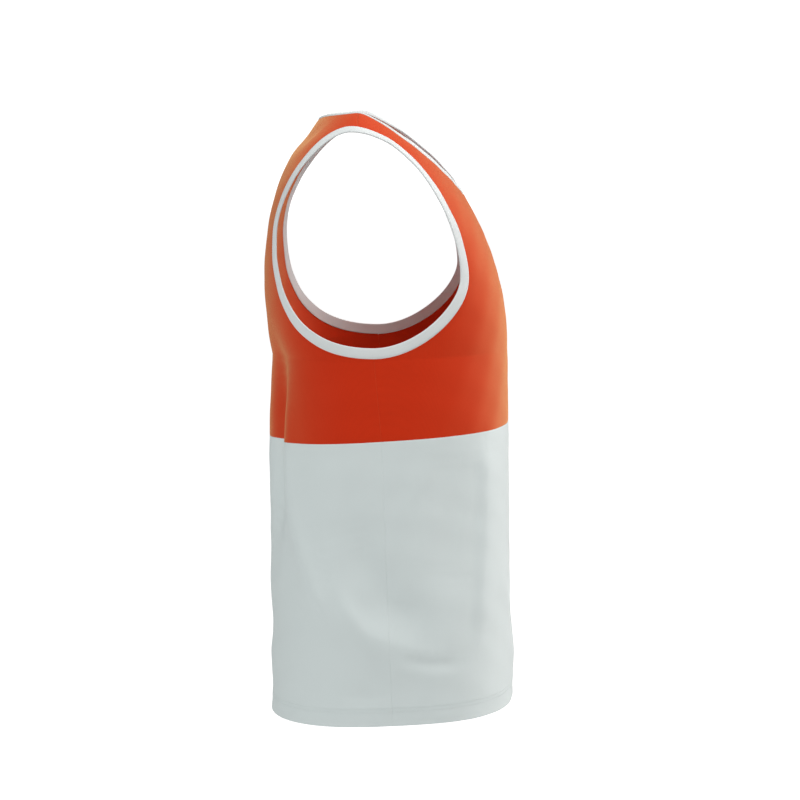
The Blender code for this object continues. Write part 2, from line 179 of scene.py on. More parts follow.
@dataclass
class WornForm:
    """The smooth shape that the cloth takes when it is worn, without its folds.

    A ring goes round the body at each distance along the middle line, which runs from the back hem over
    the shoulders to the front hem. Each ring is a rounded rectangle that drops towards the shoulder's end.
    """

    shoulder_top: float = 0.0290
    yoke_squareness: float = 3.5
    yoke_spread: float = 0.5
    shoulder_drop: float = 0.0254
    shoulder_drop_at: float = 0.1375
    shoulder_drop_power: float = 1.5
    front_rise: float = -0.082
    front_reach: float = 0.0257
    back_reach: float = 0.031
    back_bulge: float = 0.135
    back_bulge_height: float = -0.047
    profile_steps: int = 600
    slope_step: float = 1e-4
    # height, front, back, half width, side seam, squareness in front and behind, rise
    sections: tuple[Section, ...] = (
        Section(-0.656, 0.1735, 0.1035, 0.1830, 0.039, 2.9, 2.5, 0.050),
        Section(-0.555, 0.1705, 0.1010, 0.1810, 0.034, 2.9, 2.5, 0.055),
        Section(-0.450, 0.1690, 0.1035, 0.1780, 0.030, 2.9, 2.5, 0.060),
        Section(-0.345, 0.1678, 0.1045, 0.1750, 0.026, 2.9, 2.5, 0.063),
        Section(-0.256, 0.1663, 0.1000, 0.1676, 0.018, 2.9, 2.6, 0.030),
    )
    distances: np.ndarray = field(init=False)
    profile: np.ndarray = field(init=False)

    def __post_init__(self) -> None:
        """Works out the middle line, whose distances are negative behind and positive in front."""
        chest = self.sections[-1]
        body = np.linspace(self.sections[0].height, chest.height, self.profile_steps + 1)
        front = np.column_stack([self.column("front", body), body])[::-1]
        back = np.column_stack([-self.column("back", body), body])
        top = (0.0, self.shoulder_top)
        back_yoke = arc(back[-1], (-self.back_bulge, self.back_bulge_height),
                        (-self.back_reach, self.shoulder_top), top, self.profile_steps)
        front_yoke = arc(top, (self.front_reach, self.shoulder_top), (chest.front, self.front_rise),
                         front[0], self.profile_steps)
        self.profile = np.concatenate([back, back_yoke[1:], front_yoke[1:], front[1:]])
        distances = lengths(self.profile)
        self.distances = distances - distances[len(back) + self.profile_steps - 1]

    @property
    def hem_height(self) -> float:
        """The height of the hem's ring."""
        return self.sections[0].height

    @property
    def colour_line_height(self) -> float:
        """The height of the ring where the two colours meet."""
        return self.sections[-2].height

    @property
    def waist(self) -> Section:
        """The middle ring of the body."""
        return self.sections[len(self.sections) // 2]

    @property
    def chest_height(self) -> float:
        """The height of the highest ring of the body."""
        return self.sections[-1].height

    def column(self, name: str, at: np.ndarray) -> np.ndarray:
        """One size of the sections at the given heights, as a cubic through its rows.

        At a share t of the span between rows a and b with slopes p and q, it is
        (1 + 2t)(1-t)^2 a + t^2 (3 - 2t) b + span t(1-t) ((1-t) p - t q).

        Args:
            name: The section's field.
            at: The heights.

        Returns:
            The size at each height.
        """
        knots = np.array([section.height for section in self.sections])
        values = np.array([getattr(section, name) for section in self.sections])
        slopes = np.gradient(values, knots)
        low = np.clip(np.searchsorted(knots, at) - 1, 0, len(knots) - 2)
        span = knots[low + 1] - knots[low]
        t = np.clip((at - knots[low]) / span, 0.0, 1.0)
        ends = (1 + 2 * t) * (1 - t) ** 2 * values[low] + t * t * (3 - 2 * t) * values[low + 1]
        return ends + span * t * (1 - t) * ((1 - t) * slopes[low] - t * slopes[low + 1])

    def along_at(self, height: float, in_front: bool) -> float:
        """Where a height lies along the middle line.

        Args:
            height: The height on the middle line.
            in_front: Whether it is looked for in front or behind.

        Returns:
            The distance along from the shoulder's top.
        """
        part = self.distances >= 0 if in_front else self.distances <= 0
        heights, distances = self.profile[part, 1], self.distances[part]
        order = np.argsort(heights)
        return float(np.interp(height, heights[order], distances[order]))

    def ring_at(self, along: np.ndarray) -> tuple[np.ndarray, ...]:
        """The sizes of the rings at distances along the middle line.

        Above the chest, at a share u of the height of the yoke, the ring widens by 1 / (1 - spread u^3),
        its seam moves to the middle by 1 - u, and its rise and squareness change by (1 - u)^2.

        Args:
            along: The distances along.

        Returns:
            The ring's middle (forward, height), half width, seam, rise, squareness and drop.
        """
        forward = np.interp(along, self.distances, self.profile[:, 0])
        height = np.interp(along, self.distances, self.profile[:, 1])
        chest = self.chest_height
        up_yoke = np.clip((height - chest) / (self.shoulder_top - chest), 0.0, 1.0)
        half_width = self.column("half_width", height) / (1 - self.yoke_spread * up_yoke**3)
        seam = self.column("side_seam", height) * (1 - up_yoke)
        rise = self.column("rise", height) * (1 - up_yoke) ** 2
        in_front, behind = self.column("front_squareness", height), self.column("back_squareness", height)
        body = np.where(along > 0, in_front, behind)
        squareness = self.yoke_squareness + (body - self.yoke_squareness) * (1 - up_yoke) ** 2
        drop = self.shoulder_drop * up_yoke**self.shoulder_drop_power
        return forward, height, half_width, seam, rise, squareness, drop

    def points(self, angle: np.ndarray, along: np.ndarray) -> np.ndarray:
        """Points of the form: across = w sin(a) r and ahead = s + (f - s) cos(a) r.

        Here w is the ring's half width, s its seam, f its middle and r = (|sin a|^n + |cos a|^n)^(-1/n),
        with n its squareness. A point's height rises with its way ahead and drops with |across|^4.

        Args:
            angle: Angles from the middle. A quarter turn is the side seam.
            along: Distances along the middle line.

        Returns:
            A point for each.
        """
        forward, height, half_width, seam, rise, squareness, drop = self.ring_at(along)
        across, ahead = np.sin(angle), np.cos(angle)
        reach = (np.abs(across) ** squareness + np.abs(ahead) ** squareness) ** (-1 / squareness)
        x = half_width * across * reach
        depth = seam + (forward - seam) * ahead * reach
        z = height + rise * depth - drop * (np.abs(x) / self.shoulder_drop_at) ** 4
        return np.stack([x, -depth, z], axis=-1)

    def slopes(self, angle: np.ndarray, along: np.ndarray) -> tuple[np.ndarray, np.ndarray]:
        """How the form moves with the angle and with the distance along, by small differences.

        Args:
            angle: Angles from the middle.
            along: Distances along the middle line.

        Returns:
            The moves for each unit of angle, and for each metre along.
        """
        step = self.slope_step
        by_angle = self.points(angle + step, along) - self.points(angle - step, along)
        by_along = self.points(angle, along + step) - self.points(angle, along - step)
        return by_angle / (2 * step), by_along / (2 * step)

    def outward(self, angle: np.ndarray, along: np.ndarray) -> np.ndarray:
        """The form's normals, which point away from the body."""
        by_angle, by_along = self.slopes(angle, along)
        return unit(np.cross(by_along, by_angle))


@dataclass
class Openings:
    """The open edges of the armholes and of the neckline, as lines on the worn form.

    The armhole turns at its foot, front, top and back. Each draw says by what share the pull over the
    shoulder narrows the binding, where along, and how far that spreads.
    """

    form: WornForm
    foot_height: float = -0.2424
    foot_handles: tuple[float, float] = (0.0771, 0.0469)
    front: Turn = Turn(0.1119, -0.1663, 0.0297, 0.0596)
    top: Turn = Turn(-0.0081, -0.0099, 0.0699, 0.0299)
    back: Turn = Turn(-0.0897, -0.1268, 0.0546, 0.0691)
    neck_half_width: float = 0.1205
    neck_front_drop: float = 0.1530
    neck_front_fullness: float = 0.090
    neck_back_drop: float = 0.046
    neck_back_fullness: float = 0.070
    neck_straightness: float = 0.60
    binding_width: float = 0.0115
    neck_draw: tuple[float, float, float] = (0.30, 0.005, 0.040)
    armhole_draw: tuple[float, float, float] = (0.32, 0.045, 0.075)
    edge_step: float = 0.0008
    arc_steps: int = 70
    rounds: int = 40
    largest_turn: float = 0.15
    largest_move: float = 0.03
    smallest_angle: float = 0.02
    guessed_angles: tuple[float, float, float] = (1.5, 0.9, 0.35)

    def seen_from_side(self, places: np.ndarray, angle: np.ndarray, along: np.ndarray) -> Line:
        """Where the form shows those places from the side.

        Newton's rule moves the guesses: each step solves the two slopes for what is missed.

        Args:
            places: The places, as (forward, height).
            angle: A guess of the angles.
            along: A guess of the distances along.

        Returns:
            The line through them on the form.
        """
        for _ in range(self.rounds):
            by_angle, by_along = self.form.slopes(angle, along)
            reached = self.form.points(angle, along)
            forward, height = places[:, 0] + reached[:, 1], places[:, 1] - reached[:, 2]
            shared = -by_angle[:, 1] * by_along[:, 2] + by_angle[:, 2] * by_along[:, 1]
            turn = (forward * by_along[:, 2] + height * by_along[:, 1]) / shared
            move = (-by_angle[:, 1] * height - by_angle[:, 2] * forward) / shared
            angle = np.clip(angle + np.clip(turn, -self.largest_turn, self.largest_turn),
                            self.smallest_angle, SIDE_SEAM)
            along = along + np.clip(move, -self.largest_move, self.largest_move)
        return Line(angle, along)

    def armhole(self) -> Line:
        """The left armhole's open edge, from its foot up the front and down the back.

        Seen from the side it is four arcs, which run forward at the foot, up at the front, backward at
        the top and down at the back.

        Returns:
            The edge as a line on the form.
        """
        form = self.form
        seam = form.column("side_seam", np.array([self.foot_height]))[0]
        forward = seam * (form.shoulder_top - self.foot_height) / (form.shoulder_top - form.chest_height)
        foot = Turn(float(forward), self.foot_height, *self.foot_handles)
        turns = (foot, self.front, self.top, self.back, foot)
        headings = np.array([(1.0, 0.0), (0.0, 1.0), (-1.0, 0.0), (0.0, -1.0), (1.0, 0.0)])
        places = np.array([(turn.forward, turn.height) for turn in turns])
        leave = places + headings * np.array([turn.handle_after for turn in turns])[:, None]
        arrive = places - headings * np.array([turn.handle_before for turn in turns])[:, None]
        arcs = [arc(places[k], leave[k], arrive[k + 1], places[k + 1], self.arc_steps) for k in range(4)]
        share = np.linspace(0.0, 1.0, 2 * self.arc_steps + 1)
        guess = np.interp(share, [0.0, 0.5, 1.0], self.guessed_angles)
        front_foot, back_foot = form.along_at(self.foot_height, True), form.along_at(self.foot_height, False)
        up, down = np.concatenate([arcs[0], arcs[1][1:]]), np.concatenate([arcs[2], arcs[3][1:]])
        in_front = self.seen_from_side(up, guess, front_foot * (1 - share))
        behind = self.seen_from_side(down, guess[::-1], back_foot * share)
        angle = np.concatenate([in_front.angle, behind.angle[1:]])
        angle[[0, -1]] = SIDE_SEAM
        return Line(angle, np.concatenate([in_front.along, behind.along[1:]]))

    def neckline(self) -> Line:
        """The neckline's open edge on the wearer's left, from its front middle to its back middle.

        It is two arcs of (across, along), which meet at the shoulder seam. On a ring of half width w and
        squareness n, a point s w across stands at the angle arctan(s / (1 - s^n)^(1/n)).

        Returns:
            The edge as a line on the form.
        """
        front_drop, back_drop = self.neck_front_drop, -self.neck_back_drop
        wide, straight = self.neck_half_width, self.neck_straightness
        front = arc((0.0, front_drop), (self.neck_front_fullness, front_drop),
                    (wide, front_drop * straight), (wide, 0.0), self.arc_steps)
        back = arc((wide, 0.0), (wide, back_drop * straight),
                   (self.neck_back_fullness, back_drop), (0.0, back_drop), self.arc_steps)
        outline = np.concatenate([front, back[1:]])
        _, _, half_width, _, _, squareness, _ = self.form.ring_at(outline[:, 1])
        share = np.clip(outline[:, 0] / half_width, 0.0, 1.0)
        return Line(np.arctan2(share, (1 - share**squareness) ** (1 / squareness)), outline[:, 1])

    def stations(self, line: Line, front_steps: int, back_steps: int) -> Line:
        """The line at the points that its pieces share.

        Args:
            line: The open edge.
            front_steps: How many steps it has in front of the shoulder seam.
            back_steps: How many it has behind the seam.

        Returns:
            The same line, evenly spaced but for a narrow step on either side of the shoulder seam.
        """
        distance = lengths(self.form.points(line.angle, line.along))
        top = float(np.interp(0.0, -line.along, distance))
        front = np.append(np.linspace(0.0, top - self.edge_step, front_steps), top)
        back = np.linspace(top + self.edge_step, distance[-1], back_steps)
        at = np.concatenate([front, back])
        return Line(np.interp(at, distance, line.angle), np.interp(at, distance, line.along))

    def binding_reach(self, line: Line, draw: tuple[float, float, float]) -> np.ndarray:
        """How wide the binding lies at each point: width * (1 - share * exp(-((along - at)/spread)^2)).

        Args:
            line: The open edge.
            draw: By what share the pull over the shoulder narrows it, and where and how far along.

        Returns:
            The binding's width at each point.
        """
        share, at, spread = draw
        return self.binding_width * (1 - share * np.exp(-(((line.along - at) / spread) ** 2)))

    def set_back(self, line: Line, distance: np.ndarray, ends: tuple[float, float, float]) -> Line:
        """A line moved over the form and away from its opening.

        Args:
            line: The open edge.
            distance: How far to move it. It is negative for the neckline, whose line runs the other way.
            ends: Signs of x, y and z for the points past its ends, which a loop or a mirror gives.

        Returns:
            The moved line: each point steps across the line's direction, within the form's surface.
        """
        sign = np.array(ends)
        points = self.form.points(line.angle, line.along)
        loop = sign[0] > 0
        after = (points[1] if loop else points[-2]) * sign
        before = (points[-2] if loop else points[1]) * sign
        ahead = np.concatenate([points[1:], [after]])
        behind = np.concatenate([[before], points[:-1]])
        normals = self.form.outward(line.angle, line.along)
        away = unit(np.cross(normals, unit(ahead - behind))) * distance[:, None]
        by_angle, by_along = self.form.slopes(line.angle, line.along)
        angle_square, along_square = (by_angle**2).sum(axis=1), (by_along**2).sum(axis=1)
        mixed = (by_angle * by_along).sum(axis=1)
        turned, moved = (by_angle * away).sum(axis=1), (by_along * away).sum(axis=1)
        spread = angle_square * along_square - mixed**2
        return Line(line.angle + (turned * along_square - moved * mixed) / spread,
                    line.along + (moved * angle_square - turned * mixed) / spread)

    def armhole_lines(self, steps: int) -> tuple[Line, Line]:
        """The left armhole's open edge and its binding's seam.

        Args:
            steps: How many steps they have on either side of the shoulder seam.

        Returns:
            The edge and the seam, with as many points each.
        """
        edge = self.stations(self.armhole(), steps, steps)
        return edge, self.set_back(edge, self.binding_reach(edge, self.armhole_draw), LOOP)

    def neck_lines(self, front_steps: int, back_steps: int) -> tuple[Line, Line]:
        """The neckline's open edge on the wearer's left and its binding's seam.

        Args:
            front_steps: How many steps they have in front of the shoulder seam.
            back_steps: How many they have behind it.

        Returns:
            The edge and the seam, with as many points each.
        """
        edge = self.stations(self.neckline(), front_steps, back_steps)
        return edge, self.set_back(edge, -self.binding_reach(edge, self.neck_draw), MIRRORED)


# side, start, middle and end as (across, height), width, lift, lean, fade
LARGE_FOLDS = (
    Fold(Side.RIGHT, (-0.085, -0.250), (-0.073, -0.420), (-0.022, -0.565), 0.010, 0.0052, 0.0, 0.18),
    Fold(Side.RIGHT, (-0.046, -0.430), (0.000, -0.545), (0.122, -0.577), 0.021, 0.0044, -0.30, 0.45),
    Fold(Side.RIGHT, (-0.010, -0.405), (0.022, -0.500), (0.092, -0.556), 0.021, -0.0040),
    Fold(Side.RIGHT, (-0.086, -0.427), (-0.076, -0.504), (-0.060, -0.560), 0.012, -0.0034),
    Fold(Side.RIGHT, (0.139, -0.330), (0.139, -0.450), (0.130, -0.580), 0.011, 0.0044, 0.30, 0.25),
    Fold(Side.RIGHT, (0.100, -0.300), (0.102, -0.430), (0.096, -0.530), 0.028, -0.0042),
    Fold(Side.BACK, (-0.094, -0.230), (-0.092, -0.350), (-0.080, -0.500), 0.024, -0.0170),
    Fold(Side.BACK, (-0.010, -0.300), (0.000, -0.450), (0.010, -0.640), 0.100, -0.0020),
    Fold(Side.BACK, (-0.130, -0.011), (0.000, -0.015), (0.130, -0.011), 0.016, -0.0034, 0.0, 0.10),
    Fold(Side.LEFT, (-0.088, -0.270), (-0.072, -0.420), (-0.020, -0.585), 0.012, 0.0045),
    Fold(Side.LEFT, (-0.048, -0.440), (0.010, -0.535), (0.118, -0.590), 0.020, 0.0042, 0.30),
    Fold(Side.LEFT, (-0.002, -0.390), (0.034, -0.490), (0.100, -0.548), 0.022, -0.0040),
    Fold(Side.BACK, (0.084, -0.265), (0.080, -0.350), (0.072, -0.470), 0.021, -0.0080),
    Fold(Side.BACK, (-0.060, -0.480), (0.000, -0.530), (0.070, -0.500), 0.026, 0.0025),
    Fold(Side.FRONT, (-0.090, -0.560), (-0.010, -0.600), (0.080, -0.570), 0.028, 0.0030),
    Fold(Side.FRONT, (0.030, -0.300), (0.052, -0.400), (0.050, -0.500), 0.026, -0.0025),
)
SMALL_FOLDS = (
    Fold(Side.RIGHT, (0.035, -0.574), (0.078, -0.586), (0.120, -0.584), 0.008, -0.0016),
    Fold(Side.RIGHT, (-0.030, -0.618), (0.000, -0.624), (0.036, -0.620), 0.010, -0.0010),
    Fold(Side.RIGHT, (-0.062, -0.455), (-0.050, -0.515), (-0.022, -0.562), 0.009, -0.0012),
    Fold(Side.RIGHT, (-0.020, -0.500), (0.002, -0.548), (0.036, -0.580), 0.009, 0.0009),
    Fold(Side.LEFT, (0.040, -0.586), (0.078, -0.596), (0.116, -0.596), 0.009, -0.0013),
    Fold(Side.LEFT, (-0.050, -0.470), (-0.036, -0.530), (-0.010, -0.570), 0.010, -0.0010),
    Fold(Side.LEFT, (0.136, -0.360), (0.136, -0.460), (0.126, -0.560), 0.010, 0.0022, -0.30),
    Fold(Side.FRONT, (-0.120, -0.470), (-0.090, -0.520), (-0.050, -0.545), 0.014, 0.0014),
    Fold(Side.FRONT, (0.110, -0.450), (0.090, -0.510), (0.050, -0.560), 0.015, 0.0015),
    Fold(Side.BACK, (-0.110, -0.560), (-0.050, -0.600), (0.030, -0.590), 0.016, 0.0014),
    Fold(Side.BACK, (0.110, -0.540), (0.060, -0.580), (0.000, -0.610), 0.015, 0.0014),
    Fold(Side.BACK, (-0.030, -0.180), (-0.020, -0.260), (-0.028, -0.330), 0.018, -0.0012),
    Fold(Side.BACK, (0.034, -0.170), (0.030, -0.250), (0.040, -0.320), 0.018, -0.0012),
    Fold(Side.BACK, (-0.075, -0.632), (0.000, -0.646), (0.075, -0.632), 0.030, -0.0025),
)


@dataclass
class Drape:
    """The folds of the worn cloth, laid on the smooth form."""

    form: WornForm
    folds: tuple[Fold, ...] = LARGE_FOLDS + SMALL_FOLDS
    steps: int = 24
    ease: float = 0.0003
    ease_length: float = 0.055
    ease_lean: float = 0.6
    ease_slants: tuple[float, float, float] = (0.8, -0.7, 0.3)

    def lift(self, points: np.ndarray, normals: np.ndarray) -> np.ndarray:
        """How far the folds lift each point.

        A fold lifts by its bell times how squarely the cloth faces its side. Two slow sines, of
        z + lean y and of the slants times x, y and z, add the cloth's slight unevenness.

        Args:
            points: Points of the smooth form.
            normals: The form's normals there.

        Returns:
            The lift of each point along its normal.
        """
        wave = 2 * np.pi / self.ease_length
        x, y, z = points.T
        slant_x, slant_y, slant_z = self.ease_slants
        total = (self.ease * np.sin(wave * (z + self.ease_lean * y))
                 * np.sin(wave * (slant_x * x + slant_y * y + slant_z * z)))
        t = np.linspace(0.0, 1.0, self.steps + 1)[:, None]
        for fold in self.folds:
            axis, sign, gain = fold.side.value
            across = -y if axis == 0 else x
            facing = np.clip(sign * normals[:, axis] * gain, 0.0, 1.0)
            start, middle, end = map(np.array, (fold.start, fold.middle, fold.end))
            handle = 2 * middle - (start + end) / 2
            line = (1 - t) ** 2 * start + 2 * t * (1 - t) * handle + t * t * end
            total += fold.lift * facing * self._bell(fold, line, across, z)
        return total

    @staticmethod
    def _bell(fold: Fold, line: np.ndarray, across: np.ndarray, height: np.ndarray) -> np.ndarray:
        """A fold's share of its lift at each place.

        Each short piece of the line gives exp(-(d/w)^2) * f^2 (3 - 2f), with d the distance to its nearest
        point, w the width on that side and f how far inside the ends it lies. The largest counts.

        Args:
            fold: The fold.
            line: The points of its curve, as (across, height).
            across: How far across each place lies.
            height: How high each place lies.

        Returns:
            A share from 0 to 1 for each place.
        """
        step = np.diff(line, axis=0)
        dx, dz = across[:, None] - line[:-1, 0], height[:, None] - line[:-1, 1]
        reached = np.clip((dx * step[:, 0] + dz * step[:, 1]) / (step**2).sum(axis=1), 0.0, 1.0)
        away = np.hypot(dx - reached * step[:, 0], dz - reached * step[:, 1])
        flank = np.sign(step[:, 0] * dz - step[:, 1] * dx)
        place_on = (np.arange(len(step)) + reached) / len(step)
        fade = np.clip(np.minimum(place_on, 1 - place_on) / fold.fade, 0.0, 1.0)
        bell = np.exp(-((away / (fold.width * (1 + fold.lean * flank))) ** 2))
        return (bell * fade * fade * (3 - 2 * fade)).max(axis=1)

    def cloth(self, angle: np.ndarray, along: np.ndarray, proud: np.ndarray | float = 0.0) -> np.ndarray:
        """Points on the cloth's outside.

        Args:
            angle: Their angles from the middle, as a row or a grid.
            along: Their distances along, in the same shape.
            proud: How far the cloth stands out there, in the same shape or as one number.

        Returns:
            The form's points, moved along its normals by the folds' lift and by proud.
        """
        flat_angle, flat_along = angle.ravel(), along.ravel()
        points, normals = self.form.points(flat_angle, flat_along), self.form.outward(flat_angle, flat_along)
        raised = self.lift(points, normals) + np.ravel(proud)
        return (points + normals * raised[:, None]).reshape(*angle.shape, 3)


def gathered(steps: int, width: float, edge: float = 0.0004) -> np.ndarray:
    """Shares across a piece, in even steps but finer beside its two edges.

    Args:
        steps: How many even steps there are.
        width: The piece's width in metres.
        edge: The finest step, in metres.

    Returns:
        The shares from 0 to 1.
    """
    fine = FINE_PLACES * edge / width
    return np.concatenate([fine, np.linspace(EVEN_FROM * edge / width, 1 - EVEN_FROM * edge / width, steps),
                           1 - fine[::-1]])


def from_edge(share: np.ndarray, width: float) -> np.ndarray:
    """How far each share lies from the nearer edge, in metres."""
    return np.minimum(share, 1 - share) * width


def finished_mesh(name: str, points: np.ndarray, faces: list[list[int]], uv: np.ndarray,
                  merge: bool = True, turn_out: bool = False) -> bpy.types.Mesh:
    """A smooth mesh with the cloth's own lengths as its UV map.

    Args:
        name: The mesh's name.
        points: Its points, as a list of rows.
        faces: The numbers of each face's points.
        uv: The cloth's lengths at each point.
        merge: Whether doubled points become one.
        turn_out: Whether it is closed, so that its faces are turned outwards.

    Returns:
        The mesh.
    """
    mesh = bpy.data.meshes.new(name)
    mesh.from_pydata(points.tolist(), [], faces)
    corners_of_faces = np.fromiter((point for face in faces for point in face), int)
    layer = mesh.uv_layers.new(name="cloth")
    layer.data.foreach_set("uv", uv[corners_of_faces].astype(np.float32).ravel())
    work = bmesh.new()
    work.from_mesh(mesh)
    if merge:
        bmesh.ops.remove_doubles(work, verts=work.verts, dist=MERGE_DISTANCE)
    if turn_out:
        bmesh.ops.recalc_face_normals(work, faces=work.faces)
    work.to_mesh(mesh)
    work.free()
    mesh.shade_smooth()
    return mesh


def surface_mesh(name: str, points: np.ndarray, uv: np.ndarray, outward: np.ndarray,
                 skip: np.ndarray | None = None, closed: bool = False) -> bpy.types.Mesh:
    """A mesh of quads over a grid of points.

    Args:
        name: The mesh's name.
        points: The grid, as rows by columns by 3.
        uv: The cloth's own lengths at each point, as rows by columns by 2.
        outward: One vector that the middle of the grid should face.
        skip: True for each cell that stays open, as rows - 1 by columns - 1.
        closed: Whether the last row and the last column meet the first.

    Returns:
        The mesh, with doubled points merged and its faces towards outward.
    """
    rows, columns = points.shape[:2]
    index = np.arange(rows * columns).reshape(rows, columns)
    quads = np.stack([index[:-1, :-1], index[:-1, 1:], index[1:, 1:], index[1:, :-1]], axis=-1)
    quads = quads.reshape(-1, 4) if skip is None else quads[~skip]
    flat = points.reshape(-1, 3)
    middle = quads[len(quads) // 2]
    facing = np.cross(flat[middle[2]] - flat[middle[0]], flat[middle[3]] - flat[middle[1]])
    if not closed and facing @ outward < 0:
        quads = quads[:, ::-1]
    return finished_mesh(name, flat, quads.tolist(), uv.reshape(-1, 2), turn_out=closed)


def place(mesh: bpy.types.Mesh, material: bpy.types.Material, slot: str) -> bpy.types.Object:
    """Puts a mesh in the scene as a piece of the singlet, which rides on its one body.

    Args:
        mesh: The mesh, whose name the piece takes.
        material: The piece's finish.
        slot: Not used.

    Returns:
        The piece.
    """
    mesh.materials.append(material)
    piece = bpy.data.objects.new(mesh.name, mesh)
    bpy.context.scene.collection.objects.link(piece)
    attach(piece, "root")
    return piece


def give_wall(piece: bpy.types.Object, thickness: float) -> None:
    """Gives an open sheet its thickness, all of it inside.

    Args:
        piece: The sheet.
        thickness: Its thickness in metres.
    """
    wall = piece.modifiers.new("Cloth thickness", "SOLIDIFY")
    wall.thickness = thickness
    wall.offset = -1.0
    wall.use_even_offset = False


# Finishes -----------------------------------------------------------------------------------------


class NodeTree:
    """A small helper that adds nodes to a tree and joins them."""

    def __init__(self, tree: bpy.types.NodeTree) -> None:
        """Keeps the tree."""
        self.tree = tree

    def add(self, kind: str, **values: object) -> bpy.types.Node:
        """Adds a node.

        Args:
            kind: The node's type.
            **values: Properties to set on it.

        Returns:
            The node.
        """
        node = self.tree.nodes.new(kind)
        for key, value in values.items():
            setattr(node, key, value)
        return node

    def math(self, operation: str, *inputs: object) -> bpy.types.NodeSocket:
        """Adds a Math node.

        Args:
            operation: What it works out.
            *inputs: Numbers or sockets.

        Returns:
            Its output.
        """
        node = self.add("ShaderNodeMath", operation=operation)
        for socket, value in zip(node.inputs, inputs):
            self.feed(socket, value)
        return node.outputs[0]

    def feed(self, socket: bpy.types.NodeSocket, value: object) -> None:
        """Joins a socket to another, or sets its value.

        Args:
            socket: The input.
            value: The output that feeds it, or what it is set to.
        """
        if isinstance(value, bpy.types.NodeSocket):
            self.tree.links.new(value, socket)
        else:
            socket.default_value = value


